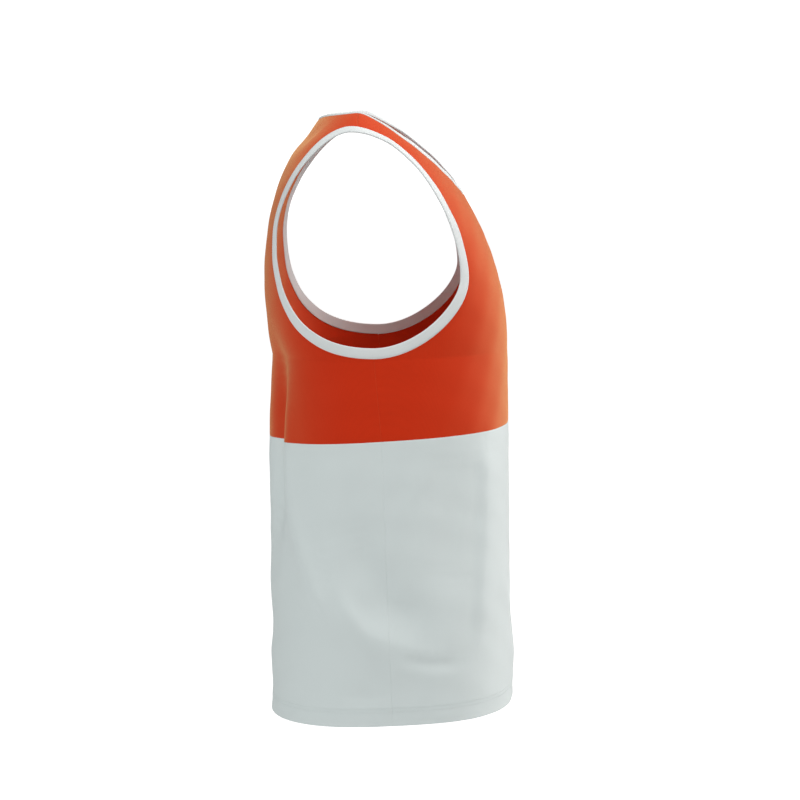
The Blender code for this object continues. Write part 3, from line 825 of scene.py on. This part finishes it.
@dataclass(frozen=True)
class KnitGroup:
    """The shader group that every cloth uses: the knit's loops and the slight unevenness of its colour.

    The rows bend where they cross a column. The colour carries painted shade: it is darker in the loops'
    hollows and lighter on their crowns. Wide patches and a fine grain, whose scales are for each metre
    and whose shares add up to one, make the unevenness.
    """

    name: str = "knitted_cloth"
    row_bend: float = 0.5
    column_height: float = 0.7
    row_height: float = 0.15
    middle_height: float = 0.45
    patch_scale: float = 26.0
    patch_detail: float = 3.0
    patch_share: float = 0.6
    grain_scale: float = 900.0
    grain_detail: float = 2.0
    grain_share: float = 0.4
    grain_height: float = 0.2
    roughness_gain: float = 1.5
    defaults: tuple[tuple[str, float], ...] = (
        ("Column", 0.9), ("Row", 0.8), ("Unevenness", 0.04), ("Loop shade", 0.06))

    def group(self) -> bpy.types.NodeTree:
        """The group, which is built once and is found by its name from then on."""
        return bpy.data.node_groups.get(self.name) or self._build()

    def _build(self) -> bpy.types.NodeTree:
        """Joins the loops and the noises to the outputs.

        The colour is scaled by 1 + unevenness (noise - 0.5) + loop shade (height - middle height). The last
        term is painted shade, darker in the loops' hollows and lighter on their crowns.

        Returns:
            The new group.
        """
        group = bpy.data.node_groups.new(self.name, "ShaderNodeTree")
        self._sockets(group)
        tree = NodeTree(group)
        given, out = tree.add("NodeGroupInput"), tree.add("NodeGroupOutput")
        loop = self._loop(tree, given)
        at = tree.add("ShaderNodeTexCoord").outputs["Object"]
        patches = self._noise(tree, at, self.patch_scale, self.patch_detail)
        grain = self._noise(tree, at, self.grain_scale, self.grain_detail)
        noise = tree.math("ADD", tree.math("MULTIPLY", patches, self.patch_share),
                          tree.math("MULTIPLY", grain, self.grain_share))
        uneven = tree.math("MULTIPLY", tree.math("SUBTRACT", noise, 0.5), given.outputs["Unevenness"])
        # Painted shade: the colour is darkened where the loops lie low and lightened on their crowns.
        above_middle = tree.math("SUBTRACT", loop, self.middle_height)
        painted_loop_shade = tree.math("MULTIPLY", above_middle, given.outputs["Loop shade"])
        scaled = tree.add("ShaderNodeVectorMath", operation="SCALE")
        tree.feed(scaled.inputs[0], given.outputs["Colour"])
        tree.feed(scaled.inputs["Scale"], tree.math("ADD", 1.0, tree.math("ADD", uneven, painted_loop_shade)))
        tree.feed(out.inputs["Colour"], scaled.outputs[0])
        height = tree.math("ADD", loop, tree.math("MULTIPLY", grain, self.grain_height))
        tree.feed(out.inputs["Height"], height)
        tree.feed(out.inputs["Roughness"], tree.math("MULTIPLY", uneven, self.roughness_gain))
        return group

    def _sockets(self, group: bpy.types.NodeTree) -> None:
        """Names the group's inputs and outputs.

        Args:
            group: The new group.
        """
        for label, value in self.defaults:
            socket = group.interface.new_socket(name=label, in_out="INPUT", socket_type="NodeSocketFloat")
            socket.default_value = value
        colour = group.interface.new_socket(name="Colour", in_out="INPUT", socket_type="NodeSocketColor")
        colour.default_value = (0.5, 0.5, 0.5, 1.0)
        group.interface.new_socket(name="Colour", in_out="OUTPUT", socket_type="NodeSocketColor")
        for label in ("Height", "Roughness"):
            group.interface.new_socket(name=label, in_out="OUTPUT", socket_type="NodeSocketFloat")

    def _loop(self, tree: NodeTree, given: bpy.types.Node) -> bpy.types.NodeSocket:
        """The loops' height: a |sin(pi u)| and b sin(2 pi (v + bend |sin(pi u)|)).

        Here u and v count the columns and the rows, and a and b are their heights.

        Args:
            tree: The group's tree.
            given: Its input node.

        Returns:
            The height's output.
        """
        split = tree.add("ShaderNodeSeparateXYZ")
        tree.feed(split.inputs[0], tree.add("ShaderNodeUVMap", uv_map="cloth").outputs[0])
        across_mm, up_mm = (tree.math("MULTIPLY", split.outputs[k], MM_IN_METRE) for k in range(2))
        across = tree.math("DIVIDE", across_mm, given.outputs["Column"])
        up = tree.math("DIVIDE", up_mm, given.outputs["Row"])
        column = tree.math("ABSOLUTE", tree.math("SINE", tree.math("MULTIPLY", across, math.pi)))
        bent = tree.math("ADD", up, tree.math("MULTIPLY", column, self.row_bend))
        row = tree.math("SINE", tree.math("MULTIPLY", bent, 2 * math.pi))
        return tree.math("ADD", tree.math("MULTIPLY", column, self.column_height),
                         tree.math("MULTIPLY", row, self.row_height))

    @staticmethod
    def _noise(tree: NodeTree, at: bpy.types.NodeSocket, scale: float, detail: float) -> bpy.types.NodeSocket:
        """A soft noise on the piece's own coordinates.

        Args:
            tree: The group's tree.
            at: The coordinates.
            scale: The noise's scale.
            detail: Its detail.

        Returns:
            The noise's output.
        """
        noise = tree.add("ShaderNodeTexNoise", noise_dimensions="3D")
        tree.feed(noise.inputs["Vector"], at)
        tree.feed(noise.inputs["Scale"], scale)
        tree.feed(noise.inputs["Detail"], detail)
        return noise.outputs[0]


@dataclass(frozen=True)
class ClothFinish:
    """A knit's colour, nap and sheen, and the size and depth of its loops in millimetres."""

    name: str
    colour: tuple[float, float, float]
    roughness: float
    column: float
    row: float
    depth: float
    unevenness: float
    # How strongly shade is painted into the knit's hollows, with the loops' crowns lighter.
    loops: float
    sheen: float
    sheen_tint: tuple[float, float, float]
    specular: float
    sheen_roughness: float = 0.52
    bump: float = 0.6

    def material(self) -> bpy.types.Material:
        """The finish as a material whose Principled shader reads the shared knit group.

        Returns:
            The material.
        """
        material = bpy.data.materials.new(self.name)
        material.use_nodes = True
        tree = NodeTree(material.node_tree)
        shader = material.node_tree.nodes["Principled BSDF"]
        knit = tree.add("ShaderNodeGroup", node_tree=KnitGroup().group())
        for label, value in (("Column", self.column), ("Row", self.row), ("Unevenness", self.unevenness),
                             ("Loop shade", self.loops), ("Colour", (*self.colour, 1.0))):
            tree.feed(knit.inputs[label], value)
        tree.feed(shader.inputs["Base Color"], knit.outputs["Colour"])
        tree.feed(shader.inputs["Roughness"], tree.math("ADD", knit.outputs["Roughness"], self.roughness))
        bump = tree.add("ShaderNodeBump")
        tree.feed(bump.inputs["Strength"], self.bump)
        tree.feed(bump.inputs["Distance"], self.depth / MM_IN_METRE)
        tree.feed(bump.inputs["Height"], knit.outputs["Height"])
        tree.feed(shader.inputs["Normal"], bump.outputs[0])
        tree.feed(shader.inputs["Sheen Weight"], self.sheen)
        tree.feed(shader.inputs["Sheen Roughness"], self.sheen_roughness)
        tree.feed(shader.inputs["Sheen Tint"], (*self.sheen_tint, 1.0))
        tree.feed(shader.inputs["Specular IOR Level"], self.specular)
        material.diffuse_color = (*self.colour, 1.0)
        return material


WHITE_FUZZ = (1.0, 1.0, 1.0)
ORANGE_FUZZ = (1.0, 0.76, 0.34)
ORANGE_KNIT = ClothFinish(
    "orange_knit", colour=(0.56, 0.019, 0.0020), roughness=0.55, column=0.95, row=0.80, depth=0.10,
    unevenness=0.04, loops=0.03, sheen=0.64, sheen_tint=ORANGE_FUZZ, specular=0.03)
PALE_KNIT = ClothFinish(
    "pale_knit", colour=(0.66, 0.73, 0.725), roughness=0.66, column=0.95, row=0.80, depth=0.10,
    unevenness=0.03, loops=0.03, sheen=0.05, sheen_tint=WHITE_FUZZ, specular=0.15)
BINDING_KNIT = ClothFinish(
    "binding_knit", colour=(0.70, 0.74, 0.74), roughness=0.70, column=1.30, row=0.90, depth=0.22,
    unevenness=0.04, loops=0.06, sheen=0.05, sheen_tint=WHITE_FUZZ, specular=0.15)
PALE_THREAD = ClothFinish(
    "pale_thread", colour=(0.68, 0.74, 0.735), roughness=0.50, column=0.25, row=0.25, depth=0.04,
    unevenness=0.02, loops=0.02, sheen=0.05, sheen_tint=WHITE_FUZZ, specular=0.20)


# Pieces -------------------------------------------------------------------------------------------


def panel_name(part: str, in_front: bool) -> str:
    """The name of the front or the back panel of the upper or the lower part."""
    return f"{'front' if in_front else 'back'}_{part}_cloth"


def panel_direction(in_front: bool) -> np.ndarray:
    """The direction that a front or a back panel faces."""
    return np.array([0.0, -1.0 if in_front else 1.0, 0.0])


@dataclass
class Body:
    """The four panels, which are cut from two cloths and meet at the side seams and the colour line.

    Crowding says how many more columns the lower back panel has, at which angle and how far that spreads.
    Turn_up is the height of the turned hem, which stands out by hem_rise, with a groove below its edge.
    A lower panel is half_widths_around times as wide as the waist's half width, and an upper panel has
    cloth_across metres of cloth for each metre across.
    """

    form: WornForm
    openings: Openings
    drape: Drape
    wall: float = 0.0011
    seam_depth: float = 0.00004
    seam_reach: float = 0.0012
    shoulder_seam_share: float = 0.6
    foot_row_dip: float = 0.006
    lower_columns: int = 250
    lower_rows: int = 130
    crowding: tuple[float, float, float] = (1.6, 0.68, 0.24)
    crowding_steps: int = 720
    upper_columns: int = 74
    upper_rows: int = 160
    armhole_steps: int = 120
    neck_front_steps: int = 72
    neck_back_steps: int = 48
    turn_up: float = 0.021
    hem_rise: float = 0.00005
    hem_edge: float = 0.0006
    groove_below: float = 0.002
    groove_depth: float = 0.00003
    groove_width: float = 0.0015
    half_widths_around: float = 3.0
    cloth_across: float = 1.05
    far_from_seam: float = 1.0

    def seam_dip(self, from_seam: np.ndarray) -> np.ndarray:
        """How far the cloth sinks beside a seam: depth times exp(-(d/reach)^2)."""
        return -self.seam_depth * np.exp(-((from_seam / self.seam_reach) ** 2))

    def lower_angles(self, across: np.ndarray, in_front: bool) -> np.ndarray:
        """The angles of a lower panel's columns, which crowd behind where the deep valley runs.

        Behind, there are 1 + more exp(-((|angle| - at)/spread)^2) times as many at an angle.

        Args:
            across: The columns' shares across the panel.
            in_front: Whether it is the front panel, whose columns are even.

        Returns:
            Their angles from the middle.
        """
        more, at, spread = self.crowding
        angle = np.linspace(-SIDE_SEAM, SIDE_SEAM, self.crowding_steps + 1)
        crowd = 0.0 if in_front else more * np.exp(-(((np.abs(angle) - at) / spread) ** 2))
        times = np.ones_like(angle) + crowd
        total = np.concatenate([[0.0], np.cumsum((times[1:] + times[:-1]) / 2)])
        return np.interp(across, total / total[-1], angle)

    def lower_panel(self, in_front: bool) -> bpy.types.Mesh:
        """The pale panel, as a grid of angles round the body by distances up from the hem.

        The turned hem stands out by rise / (1 + exp(d/edge)), with d the distance above its turn's line,
        less the groove's depth times exp(-((d + below)/width)^2).

        Args:
            in_front: Whether it is the front panel or the back one.

        Returns:
            The panel's mesh.
        """
        hem = self.form.along_at(self.form.hem_height, in_front)
        line = self.form.along_at(self.form.colour_line_height, in_front)
        around, tall = self.half_widths_around * self.form.waist.half_width, abs(line - hem)
        across, up = gathered(self.lower_columns, around), gathered(self.lower_rows, tall)
        angle, along = np.meshgrid(self.lower_angles(across, in_front), hem + (line - hem) * up)
        from_side = np.broadcast_to(from_edge(across, around), angle.shape)
        from_hem = np.broadcast_to((up * tall)[:, None], angle.shape)
        dip = self.seam_dip(from_side) + self.seam_dip(tall - from_hem)
        above_turn = from_hem - self.turn_up
        turned = self.hem_rise / (1 + np.exp(above_turn / self.hem_edge))
        groove = self.groove_depth * np.exp(-(((above_turn + self.groove_below) / self.groove_width) ** 2))
        points = self.drape.cloth(angle, along, dip + turned - groove)
        uv = np.stack(np.broadcast_arrays((across * around)[None, :], (up * tall)[:, None]), axis=-1)
        return surface_mesh(panel_name("lower", in_front), points, uv, panel_direction(in_front))

    def half_of(self, line: Line, steps: int, in_front: bool) -> Line:
        """The stretch of a line from its end on the body up to the shoulder seam, in front or behind.

        Both stretches end where the line crosses the seam: at s = a/(a - b) of the way between its last
        point before the seam, a away, and its first point past it, at b.

        Args:
            line: The whole line, from its front end.
            steps: How many steps the stretch gets.
            in_front: Whether it is the stretch in front of the seam.

        Returns:
            The stretch, from the body up to the seam.
        """
        part = line if in_front else line.reversed()
        away = part.along if in_front else -part.along
        past = int(np.argmax(away <= 0.0))
        share = away[past - 1] / (away[past - 1] - away[past])
        reached = np.linspace(0.0, past - 1 + share, steps + 1)
        count = np.arange(past + 1)
        along = np.interp(reached, count, part.along[:past + 1])
        along[-1] = 0.0
        return Line(np.interp(reached, count, part.angle[:past + 1]), along)

    def side_rows(self, rows: int, tall: float) -> np.ndarray:
        """The rows of an upper panel's side: finer beside the colour line, but not beside the armhole.

        Args:
            rows: How many there are below the armhole's foot.
            tall: The side's height in metres.

        Returns:
            Their shares of the way up, without the armhole's foot itself.
        """
        ends = len(FINE_PLACES)
        share = gathered(rows + 1 - 2 * ends, tall)[:-ends]
        return np.append(share, np.linspace(share[-1], 1.0, rows - len(share) + 1)[1:-1])

    def upper_edges(self, in_front: bool) -> tuple[Line, Line]:
        """An upper panel's outer and inner edges on the wearer's left, from the colour line up.

        Args:
            in_front: Whether it is the front panel or the back one.

        Returns:
            The side and armhole edge, and the middle and neckline edge, with as many points each.
        """
        neck_steps = self.neck_front_steps if in_front else self.neck_back_steps
        _, armhole = self.openings.armhole_lines(self.armhole_steps)
        _, neck = self.openings.neck_lines(self.neck_front_steps, self.neck_back_steps)
        armhole = self.half_of(armhole, self.armhole_steps, in_front)
        neck = self.half_of(neck, neck_steps, in_front)
        line = self.form.along_at(self.form.colour_line_height, in_front)
        foot, below = armhole.along[0], self.upper_rows - self.armhole_steps
        side = line + (foot - line) * self.side_rows(below, abs(line - foot))
        above_rows = self.upper_rows - neck_steps - below
        dip = self.foot_row_dip if in_front else -self.foot_row_dip
        above = np.linspace(foot + dip, neck.along[0], above_rows + 1)
        centre = line + (above[0] - line) * (side - line) / (foot - line)
        outer_angle = np.concatenate([np.full(len(side), SIDE_SEAM), np.minimum(armhole.angle, SIDE_SEAM)])
        inner_angle = np.concatenate([np.zeros(len(centre) + len(above)), neck.angle[1:]])
        return (Line(outer_angle, np.concatenate([side, armhole.along])),
                Line(inner_angle, np.concatenate([centre, above[:-1], neck.along])))

    def upper_panel(self, in_front: bool) -> bpy.types.Mesh:
        """The orange panel: rows from the side or armhole to the middle or neckline, and back out.

        Args:
            in_front: Whether it is the front panel or the back one.

        Returns:
            The panel's mesh, which is open between its two halves beside the neckline.
        """
        outer, inner = self.upper_edges(in_front)
        share = gathered(self.upper_columns, self.form.sections[-1].half_width)
        angle = outer.angle[:, None] + (inner.angle - outer.angle)[:, None] * share
        along = outer.along[:, None] + (inner.along - outer.along)[:, None] * share
        angles = np.concatenate([-angle, angle[:, ::-1]], axis=1)
        alongs = np.concatenate([along, along[:, ::-1]], axis=1)
        smooth = self.form.points(angles.ravel(), alongs.ravel()).reshape(*angles.shape, 3)
        widths = np.linalg.norm(smooth[:, 1:len(share)] - smooth[:, :len(share) - 1], axis=2).sum(axis=1)
        beside_neck = np.where((inner.angle > 0)[:, None], (1 - share) * widths[:, None], self.far_from_seam)
        nearest = np.minimum(share * widths[:, None], beside_neck)
        from_line = np.abs(alongs - alongs[:1])
        dip = self.seam_dip(np.minimum(np.concatenate([nearest, nearest[:, ::-1]], axis=1), from_line))
        dip += self.seam_dip(np.abs(alongs)) * self.shoulder_seam_share
        points = self.drape.cloth(angles, alongs, dip)
        uv = np.stack([smooth[..., 0] * self.cloth_across, np.abs(alongs)], axis=-1)
        skip = np.zeros((angles.shape[0] - 1, angles.shape[1] - 1), bool)
        skip[:, len(share) - 1] = True
        return surface_mesh(panel_name("upper", in_front), points, uv, panel_direction(in_front), skip)

    def build(self, orange: bpy.types.Material, pale: bpy.types.Material) -> None:
        """Makes the four panels, gives each its thickness and hides the part that it replaces.

        Args:
            orange: The upper panels' finish.
            pale: The lower panels' finish.
        """
        # node, mesh, finish, slot, flat size and the area it covers where that isn't a rectangle
        rows = (
            ("front_upper", self.upper_panel(True), orange, "orange_knit", (0.52, 0.36), 0.120),
            ("back_upper", self.upper_panel(False), orange, "orange_knit", (0.50, 0.38), 0.130),
            ("front_lower", self.lower_panel(True), pale, "pale_knit", (0.535, 0.316), None),
            ("back_lower", self.lower_panel(False), pale, "pale_knit", (0.515, 0.316), None),
        )
        for node, mesh, material, slot, flat, area in rows:
            piece = place(mesh, material, slot)
            give_wall(piece, self.wall)
            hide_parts(node)
            LOG.info("%s: %d faces, replaces %s", piece.name, len(mesh.polygons), node)


@dataclass
class Binding:
    """A knitted strip folded over an open edge, with a round fold and its seam tucked beside the panel."""

    drape: Drape
    width: float = 0.0115
    thickness: float = 0.0021
    proud: float = 0.0006
    crown: float = 0.00025
    crown_at_stitches: float = 0.3
    tuck: float = 0.0005
    tuck_reach: float = 0.0012
    curl_share: float = 0.42
    curl_depth: float = 0.0040
    fold_steps: int = 8
    top_steps: int = 10

    def profile(self) -> np.ndarray:
        """The strip's closed cross-section as (share across, height): a half round and two flats.

        Its top is raised by crown sin(pi m), with m the share of the way over the flat, and sinks beside
        the seam by tuck exp(-(d/reach)^2).

        Returns:
            Points from the seam over the outside to the open edge, round it, and back inside.
        """
        half = self.thickness / 2
        middle = self.proud - half
        turn = np.linspace(np.pi / 2, -np.pi / 2, self.fold_steps + 1)
        fold = np.column_stack([half * (1 - np.cos(turn)), middle + half * np.sin(turn)])
        flat = np.linspace(self.width, half, self.top_steps + 1)[:-1]
        over = (flat - half) / (self.width - half)
        tucked = self.tuck * np.exp(-(((self.width - flat) / self.tuck_reach) ** 2))
        top = np.column_stack([flat, middle + half + self.crown * np.sin(np.pi * over) - tucked])
        inside = np.column_stack([flat[::-1], np.full(len(flat), middle - half)])
        ring = np.concatenate([top, fold, inside, top[:1]])
        return ring / np.array([self.width, 1.0])

    def mesh(self, name: str, edge: Line, seam: Line, curl: np.ndarray) -> bpy.types.Mesh:
        """The profile carried along the opening, from its open edge's line to its seam's.

        Where it curls, a point at a share s from the edge moves by curl * curl_share * (1 - s)^2 towards
        the seam and sinks by curl * curl_depth * (1 - s)^2, so that the open edge rolls inwards.

        Args:
            name: The mesh's name.
            edge: The open edge.
            seam: The line where the strip meets the panels.
            curl: How far the edge rolls inwards at each point, from 0 to 1.

        Returns:
            The closed strip.
        """
        ring = self.profile()
        free = (1 - np.clip(ring[:, 0], 0.0, 1.0)) ** 2 * curl[:, None]
        share, height = ring[:, 0] + self.curl_share * free, ring[:, 1] - self.curl_depth * free
        angle = edge.angle[:, None] + (seam.angle - edge.angle)[:, None] * share
        along = edge.along[:, None] + (seam.along - edge.along)[:, None] * share
        points = self.drape.cloth(angle, along, height)
        run = lengths(self.drape.form.points(edge.angle, edge.along))
        around = lengths(ring * np.array([self.width, 1.0]))
        uv = np.stack(np.broadcast_arrays(run[:, None], around[None, :]), axis=-1)
        return surface_mesh(name, points, uv, np.array([0.0, 0.0, 1.0]), closed=True)

    def stitch_line(self, edge: Line, seam: Line, share: float) -> tuple[np.ndarray, np.ndarray]:
        """A stitched line along the strip.

        Args:
            edge: The open edge.
            seam: The line where the strip meets the panels.
            share: How far from the edge to the seam it runs.

        Returns:
            The line's points and the form's normals there.
        """
        angle = edge.angle + (seam.angle - edge.angle) * share
        along = edge.along + (seam.along - edge.along) * share
        height = self.proud + self.crown * self.crown_at_stitches
        return self.drape.cloth(angle, along, height), self.drape.form.outward(angle, along)


@dataclass
class Bindings:
    """The three bindings, each on its own opening."""

    form: WornForm
    openings: Openings
    strip: Binding
    armhole_steps: int = 190
    neck_front_steps: int = 110
    neck_back_steps: int = 80
    curl_spread: float = 0.060
    armhole_cut: float = 0.66
    neck_cut: float = 0.68
    cut_width_share: float = 1.08
    stitches_at: float = 0.80

    def armhole_lines(self, side: float) -> tuple[Line, Line]:
        """The open edge and the seam of one armhole.

        Args:
            side: 1 for the left armhole, -1 for the right one.

        Returns:
            The two lines, whose ends meet below the arm.
        """
        edge, seam = self.openings.armhole_lines(self.armhole_steps)
        seam.angle[[0, -1]] = SIDE_SEAM
        height = float(self.form.ring_at(seam.along[:1])[1][0])
        seam.along[-1] = self.form.along_at(height, False)
        return (edge, seam) if side > 0 else (edge.mirrored(), seam.mirrored())

    def neck_lines(self) -> tuple[Line, Line]:
        """The open edge and the seam all round the neckline.

        Returns:
            The two lines, each the left half and its mirror image.
        """
        half = self.openings.neck_lines(self.neck_front_steps, self.neck_back_steps)
        half[1].angle[[0, -1]] = 0.0
        return tuple(Line(np.concatenate([line.angle, -line.angle[-2::-1]]),
                          np.concatenate([line.along, line.along[-2::-1]])) for line in half)

    def build(self, rib: bpy.types.Material, thread: bpy.types.Material) -> None:
        """Args:
            rib: The bindings' finish.
            thread: The stitches' finish.
        """
        # node, lines, the strip's cut length and how far it rolls inwards behind
        rows = (
            ("armhole_binding_right", self.armhole_lines(-1.0), self.armhole_cut, 0.0),
            ("armhole_binding_left", self.armhole_lines(1.0), self.armhole_cut, 0.0),
            ("neck_binding", self.neck_lines(), self.neck_cut, 1.0),
        )
        row = StitchRow(pitch=0.0027, length=0.0021, radius=0.00017)
        for node, (edge, seam), cut, curled in rows:
            curl = curled * np.exp(-((np.maximum(edge.along, 0.0) / self.curl_spread) ** 2))
            piece = place(self.strip.mesh(node + "_strip", edge, seam, curl), rib, "binding_knit")
            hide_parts(node)
            points, normals = self.strip.stitch_line(edge, seam, self.stitches_at)
            place(row.mesh(node + "_stitching", points, normals), thread, "binding_knit")
            LOG.info("%s: %d faces, replaces %s", piece.name, len(piece.data.polygons), node)


@dataclass
class StitchRow:
    """A row of short threads along a line: each is a little tube that dips into the cloth at its ends."""

    pitch: float
    length: float
    radius: float
    dip: float = 2.2
    thinning: float = 0.75
    rings: int = 5
    sides: int = 6

    def mesh(self, name: str, points: np.ndarray, normals: np.ndarray) -> bpy.types.Mesh:
        """All the threads of the row in one mesh.

        Each thread's middle follows the line, raised by radius * (1 - dip s^2) for s from -1 to 1 along it,
        and its section is a circle of radius * sqrt(1 - thinning s^2).

        Args:
            name: The mesh's name.
            points: The line.
            normals: The cloth's normals along it.

        Returns:
            The mesh, with closed ends.
        """
        distance = lengths(points)
        count = int(distance[-1] / self.pitch)
        s = np.linspace(-1.0, 1.0, self.rings)
        at = (np.arange(count) + 0.5)[:, None] * distance[-1] / count + s * self.length / 2
        centre = np.stack([np.interp(at, distance, points[:, k]) for k in range(3)], axis=-1)
        normal = unit(np.stack([np.interp(at, distance, normals[:, k]) for k in range(3)], axis=-1))
        across = unit(np.cross(unit(np.gradient(centre, axis=1)), normal))
        centre = centre + normal * (self.radius * (1 - self.dip * s**2))[:, None]
        thick = self.radius * np.sqrt(1 - self.thinning * s**2)
        turn = np.linspace(0.0, 2 * np.pi, self.sides, endpoint=False)
        outwards = np.cos(turn)[:, None] * across[:, :, None] + np.sin(turn)[:, None] * normal[:, :, None]
        grid = centre[:, :, None] + outwards * thick[:, None, None]
        index = np.arange(grid.shape[0] * self.rings * self.sides).reshape(-1, self.rings, self.sides)
        follow = np.roll(index, -1, axis=2)
        tubes = np.stack([index[:, :-1], index[:, 1:], follow[:, 1:], follow[:, :-1]], axis=-1).reshape(-1, 4)
        faces = tubes.tolist() + index[:, 0, :].tolist() + index[:, -1, ::-1].tolist()
        uv = np.stack(np.broadcast_arrays(at[:, :, None], turn * self.radius), axis=-1)
        return finished_mesh(name, grid.reshape(-1, 3), faces, uv.reshape(-1, 2), merge=False, turn_out=True)


@dataclass
class Hem:
    """The two rows of stitches that hold the turned-up hem."""

    form: WornForm
    drape: Drape
    heights: tuple[float, float] = (0.0160, 0.0200)
    steps: int = 350
    proud: float = 0.00022

    def line(self, above: float) -> tuple[np.ndarray, np.ndarray]:
        """A line round the front and on round the back.

        Args:
            above: Its distance above the hem.

        Returns:
            Its points on the cloth and the form's normals there. The last point is the first again.
        """
        angle = np.linspace(-SIDE_SEAM, SIDE_SEAM, self.steps)
        hem = self.form.hem_height
        front, back = self.form.along_at(hem, True) - above, self.form.along_at(hem, False) + above
        angles = np.concatenate([angle[:-1], angle[:0:-1]])
        alongs = np.repeat([front, back], self.steps - 1)
        points, normals = self.drape.cloth(angles, alongs, self.proud), self.form.outward(angles, alongs)
        return np.append(points, points[:1], axis=0), np.append(normals, normals[:1], axis=0)

    def build(self, thread: bpy.types.Material) -> None:
        """Makes the rows of stitches.

        Args:
            thread: Their finish.
        """
        row = StitchRow(pitch=0.0031, length=0.0025, radius=0.00016)
        for number, above in enumerate(self.heights, start=1):
            points, normals = self.line(above)
            piece = place(row.mesh(f"hem_stitching_{number}", points, normals), thread, "pale_knit")
            LOG.info("%s: %d faces", piece.name, len(piece.data.polygons))


# Studio -------------------------------------------------------------------------------------------


@dataclass(frozen=True)
class SoftBox:
    """A large square soft light: its place, what it faces, its size, its power and its colour."""

    name: str
    place: tuple[float, float, float]
    aim: tuple[float, float, float]
    size: float
    power: float
    colour: tuple[float, float, float]


@dataclass
class Studio:
    """A plain pale floor far below the garment, white surroundings, soft lights and the camera.

    The camera sees the floor brighter by floor_glow, and the surroundings by surroundings_glow.
    """

    camera_place: tuple[float, float, float] = (-3.3953, -0.0691, 0.0405)
    camera_aim: tuple[float, float, float] = (0.0, -0.045, -0.316)
    lens: float = 135.0
    sensor_width: float = 36.0
    far_clip: float = 200.0
    floor_height: float = -1.40
    floor_reach: float = 30.0
    floor_colour: tuple[float, float, float] = (0.80, 0.80, 0.80)
    floor_roughness: float = 0.9
    floor_glow: float = 0.75
    surroundings: float = 0.36
    surroundings_glow: float = 0.9
    white: tuple[float, float, float, float] = (1.0, 1.0, 1.0, 1.0)
    lights: tuple[SoftBox, ...] = (
        SoftBox("front_light", (0.75, -3.2, 1.6), (0.0, -0.05, -0.30), 3.2, 80.0, (1.0, 0.93, 0.91)),
        SoftBox("top_light", (-0.8, -1.2, 2.6), (0.0, -0.03, -0.20), 1.8, 69.0, (1.0, 0.98, 0.97)),
        SoftBox("side_light", (-2.2, 2.7, 0.7), (0.0, -0.03, -0.35), 2.4, 45.0, (0.98, 1.0, 1.0)),
    )

    def build(self) -> None:
        """Makes the floor, the surroundings, the lights and the camera."""
        self._floor()
        self._surroundings()
        for box in self.lights:
            self._light(box)
        self._camera()

    def _floor(self) -> None:
        """A wide flat floor of one colour."""
        corner = np.array([-self.floor_reach, self.floor_reach])
        x, y = np.meshgrid(corner, corner)
        points = np.stack([x, y, np.full_like(x, self.floor_height)], axis=-1)
        mesh = surface_mesh("studio_floor", points, points[..., :2], np.array([0.0, 0.0, 1.0]))
        material = bpy.data.materials.new("studio_floor")
        material.use_nodes = True
        shader = material.node_tree.nodes["Principled BSDF"]
        tree = NodeTree(material.node_tree)
        tree.feed(shader.inputs["Base Color"], (*self.floor_colour, 1.0))
        tree.feed(shader.inputs["Roughness"], self.floor_roughness)
        tree.feed(shader.inputs["Emission Color"], self.white)
        seen = tree.add("ShaderNodeLightPath").outputs["Is Camera Ray"]
        tree.feed(shader.inputs["Emission Strength"], tree.math("MULTIPLY", seen, self.floor_glow))
        mesh.materials.append(material)
        floor = bpy.data.objects.new("studio_floor", mesh)
        bpy.context.scene.collection.objects.link(floor)

    def _surroundings(self) -> None:
        """Even light from all round, which the camera itself sees as white."""
        world = bpy.data.worlds.new("studio_surroundings")
        world.use_nodes = True
        bpy.context.scene.world = world
        tree = NodeTree(world.node_tree)
        background = world.node_tree.nodes["Background"]
        tree.feed(background.inputs["Color"], self.white)
        seen = tree.add("ShaderNodeLightPath").outputs["Is Camera Ray"]
        glow = tree.math("MULTIPLY", seen, self.surroundings_glow)
        tree.feed(background.inputs["Strength"], tree.math("ADD", self.surroundings, glow))

    def _light(self, box: SoftBox) -> None:
        """Puts up one square area light, turned towards its aim.

        Args:
            box: The light's place, aim, size, power and colour.
        """
        data = bpy.data.lights.new(box.name, "AREA")
        data.size, data.energy, data.color = box.size, box.power, box.colour
        self._aimed(bpy.data.objects.new(box.name, data), box.place, box.aim)

    def _camera(self) -> None:
        """Puts the camera at the photograph's place."""
        data = bpy.data.cameras.new("camera")
        data.lens, data.sensor_width = self.lens, self.sensor_width
        data.clip_end = self.far_clip
        camera = bpy.data.objects.new("camera", data)
        self._aimed(camera, self.camera_place, self.camera_aim)
        bpy.context.scene.camera = camera

    @staticmethod
    def _aimed(thing: bpy.types.Object, place_at: tuple[float, float, float],
               aim: tuple[float, float, float]) -> None:
        """Links a light or a camera to the scene and turns it towards its aim.

        Args:
            thing: The light or the camera.
            place_at: Where it stands.
            aim: What it faces.
        """
        thing.location = place_at
        thing.rotation_euler = (Vector(aim) - Vector(place_at)).to_track_quat("-Z", "Y").to_euler()
        bpy.context.scene.collection.objects.link(thing)


def main() -> None:
    """Builds the studio and then the garment, piece by piece."""
    logging.basicConfig(level=logging.INFO, format="%(name)s: %(message)s")
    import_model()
    bpy.context.scene.view_settings.view_transform = "Standard"
    Studio().build()
    form = WornForm()
    openings = Openings(form)
    drape = Drape(form)
    orange, pale, rib = ORANGE_KNIT.material(), PALE_KNIT.material(), BINDING_KNIT.material()
    thread = PALE_THREAD.material()
    Body(form, openings, drape).build(orange, pale)
    Bindings(form, openings, Binding(drape)).build(rib, thread)
    Hem(form, drape).build(thread)


if __name__ == "__main__":
    main()
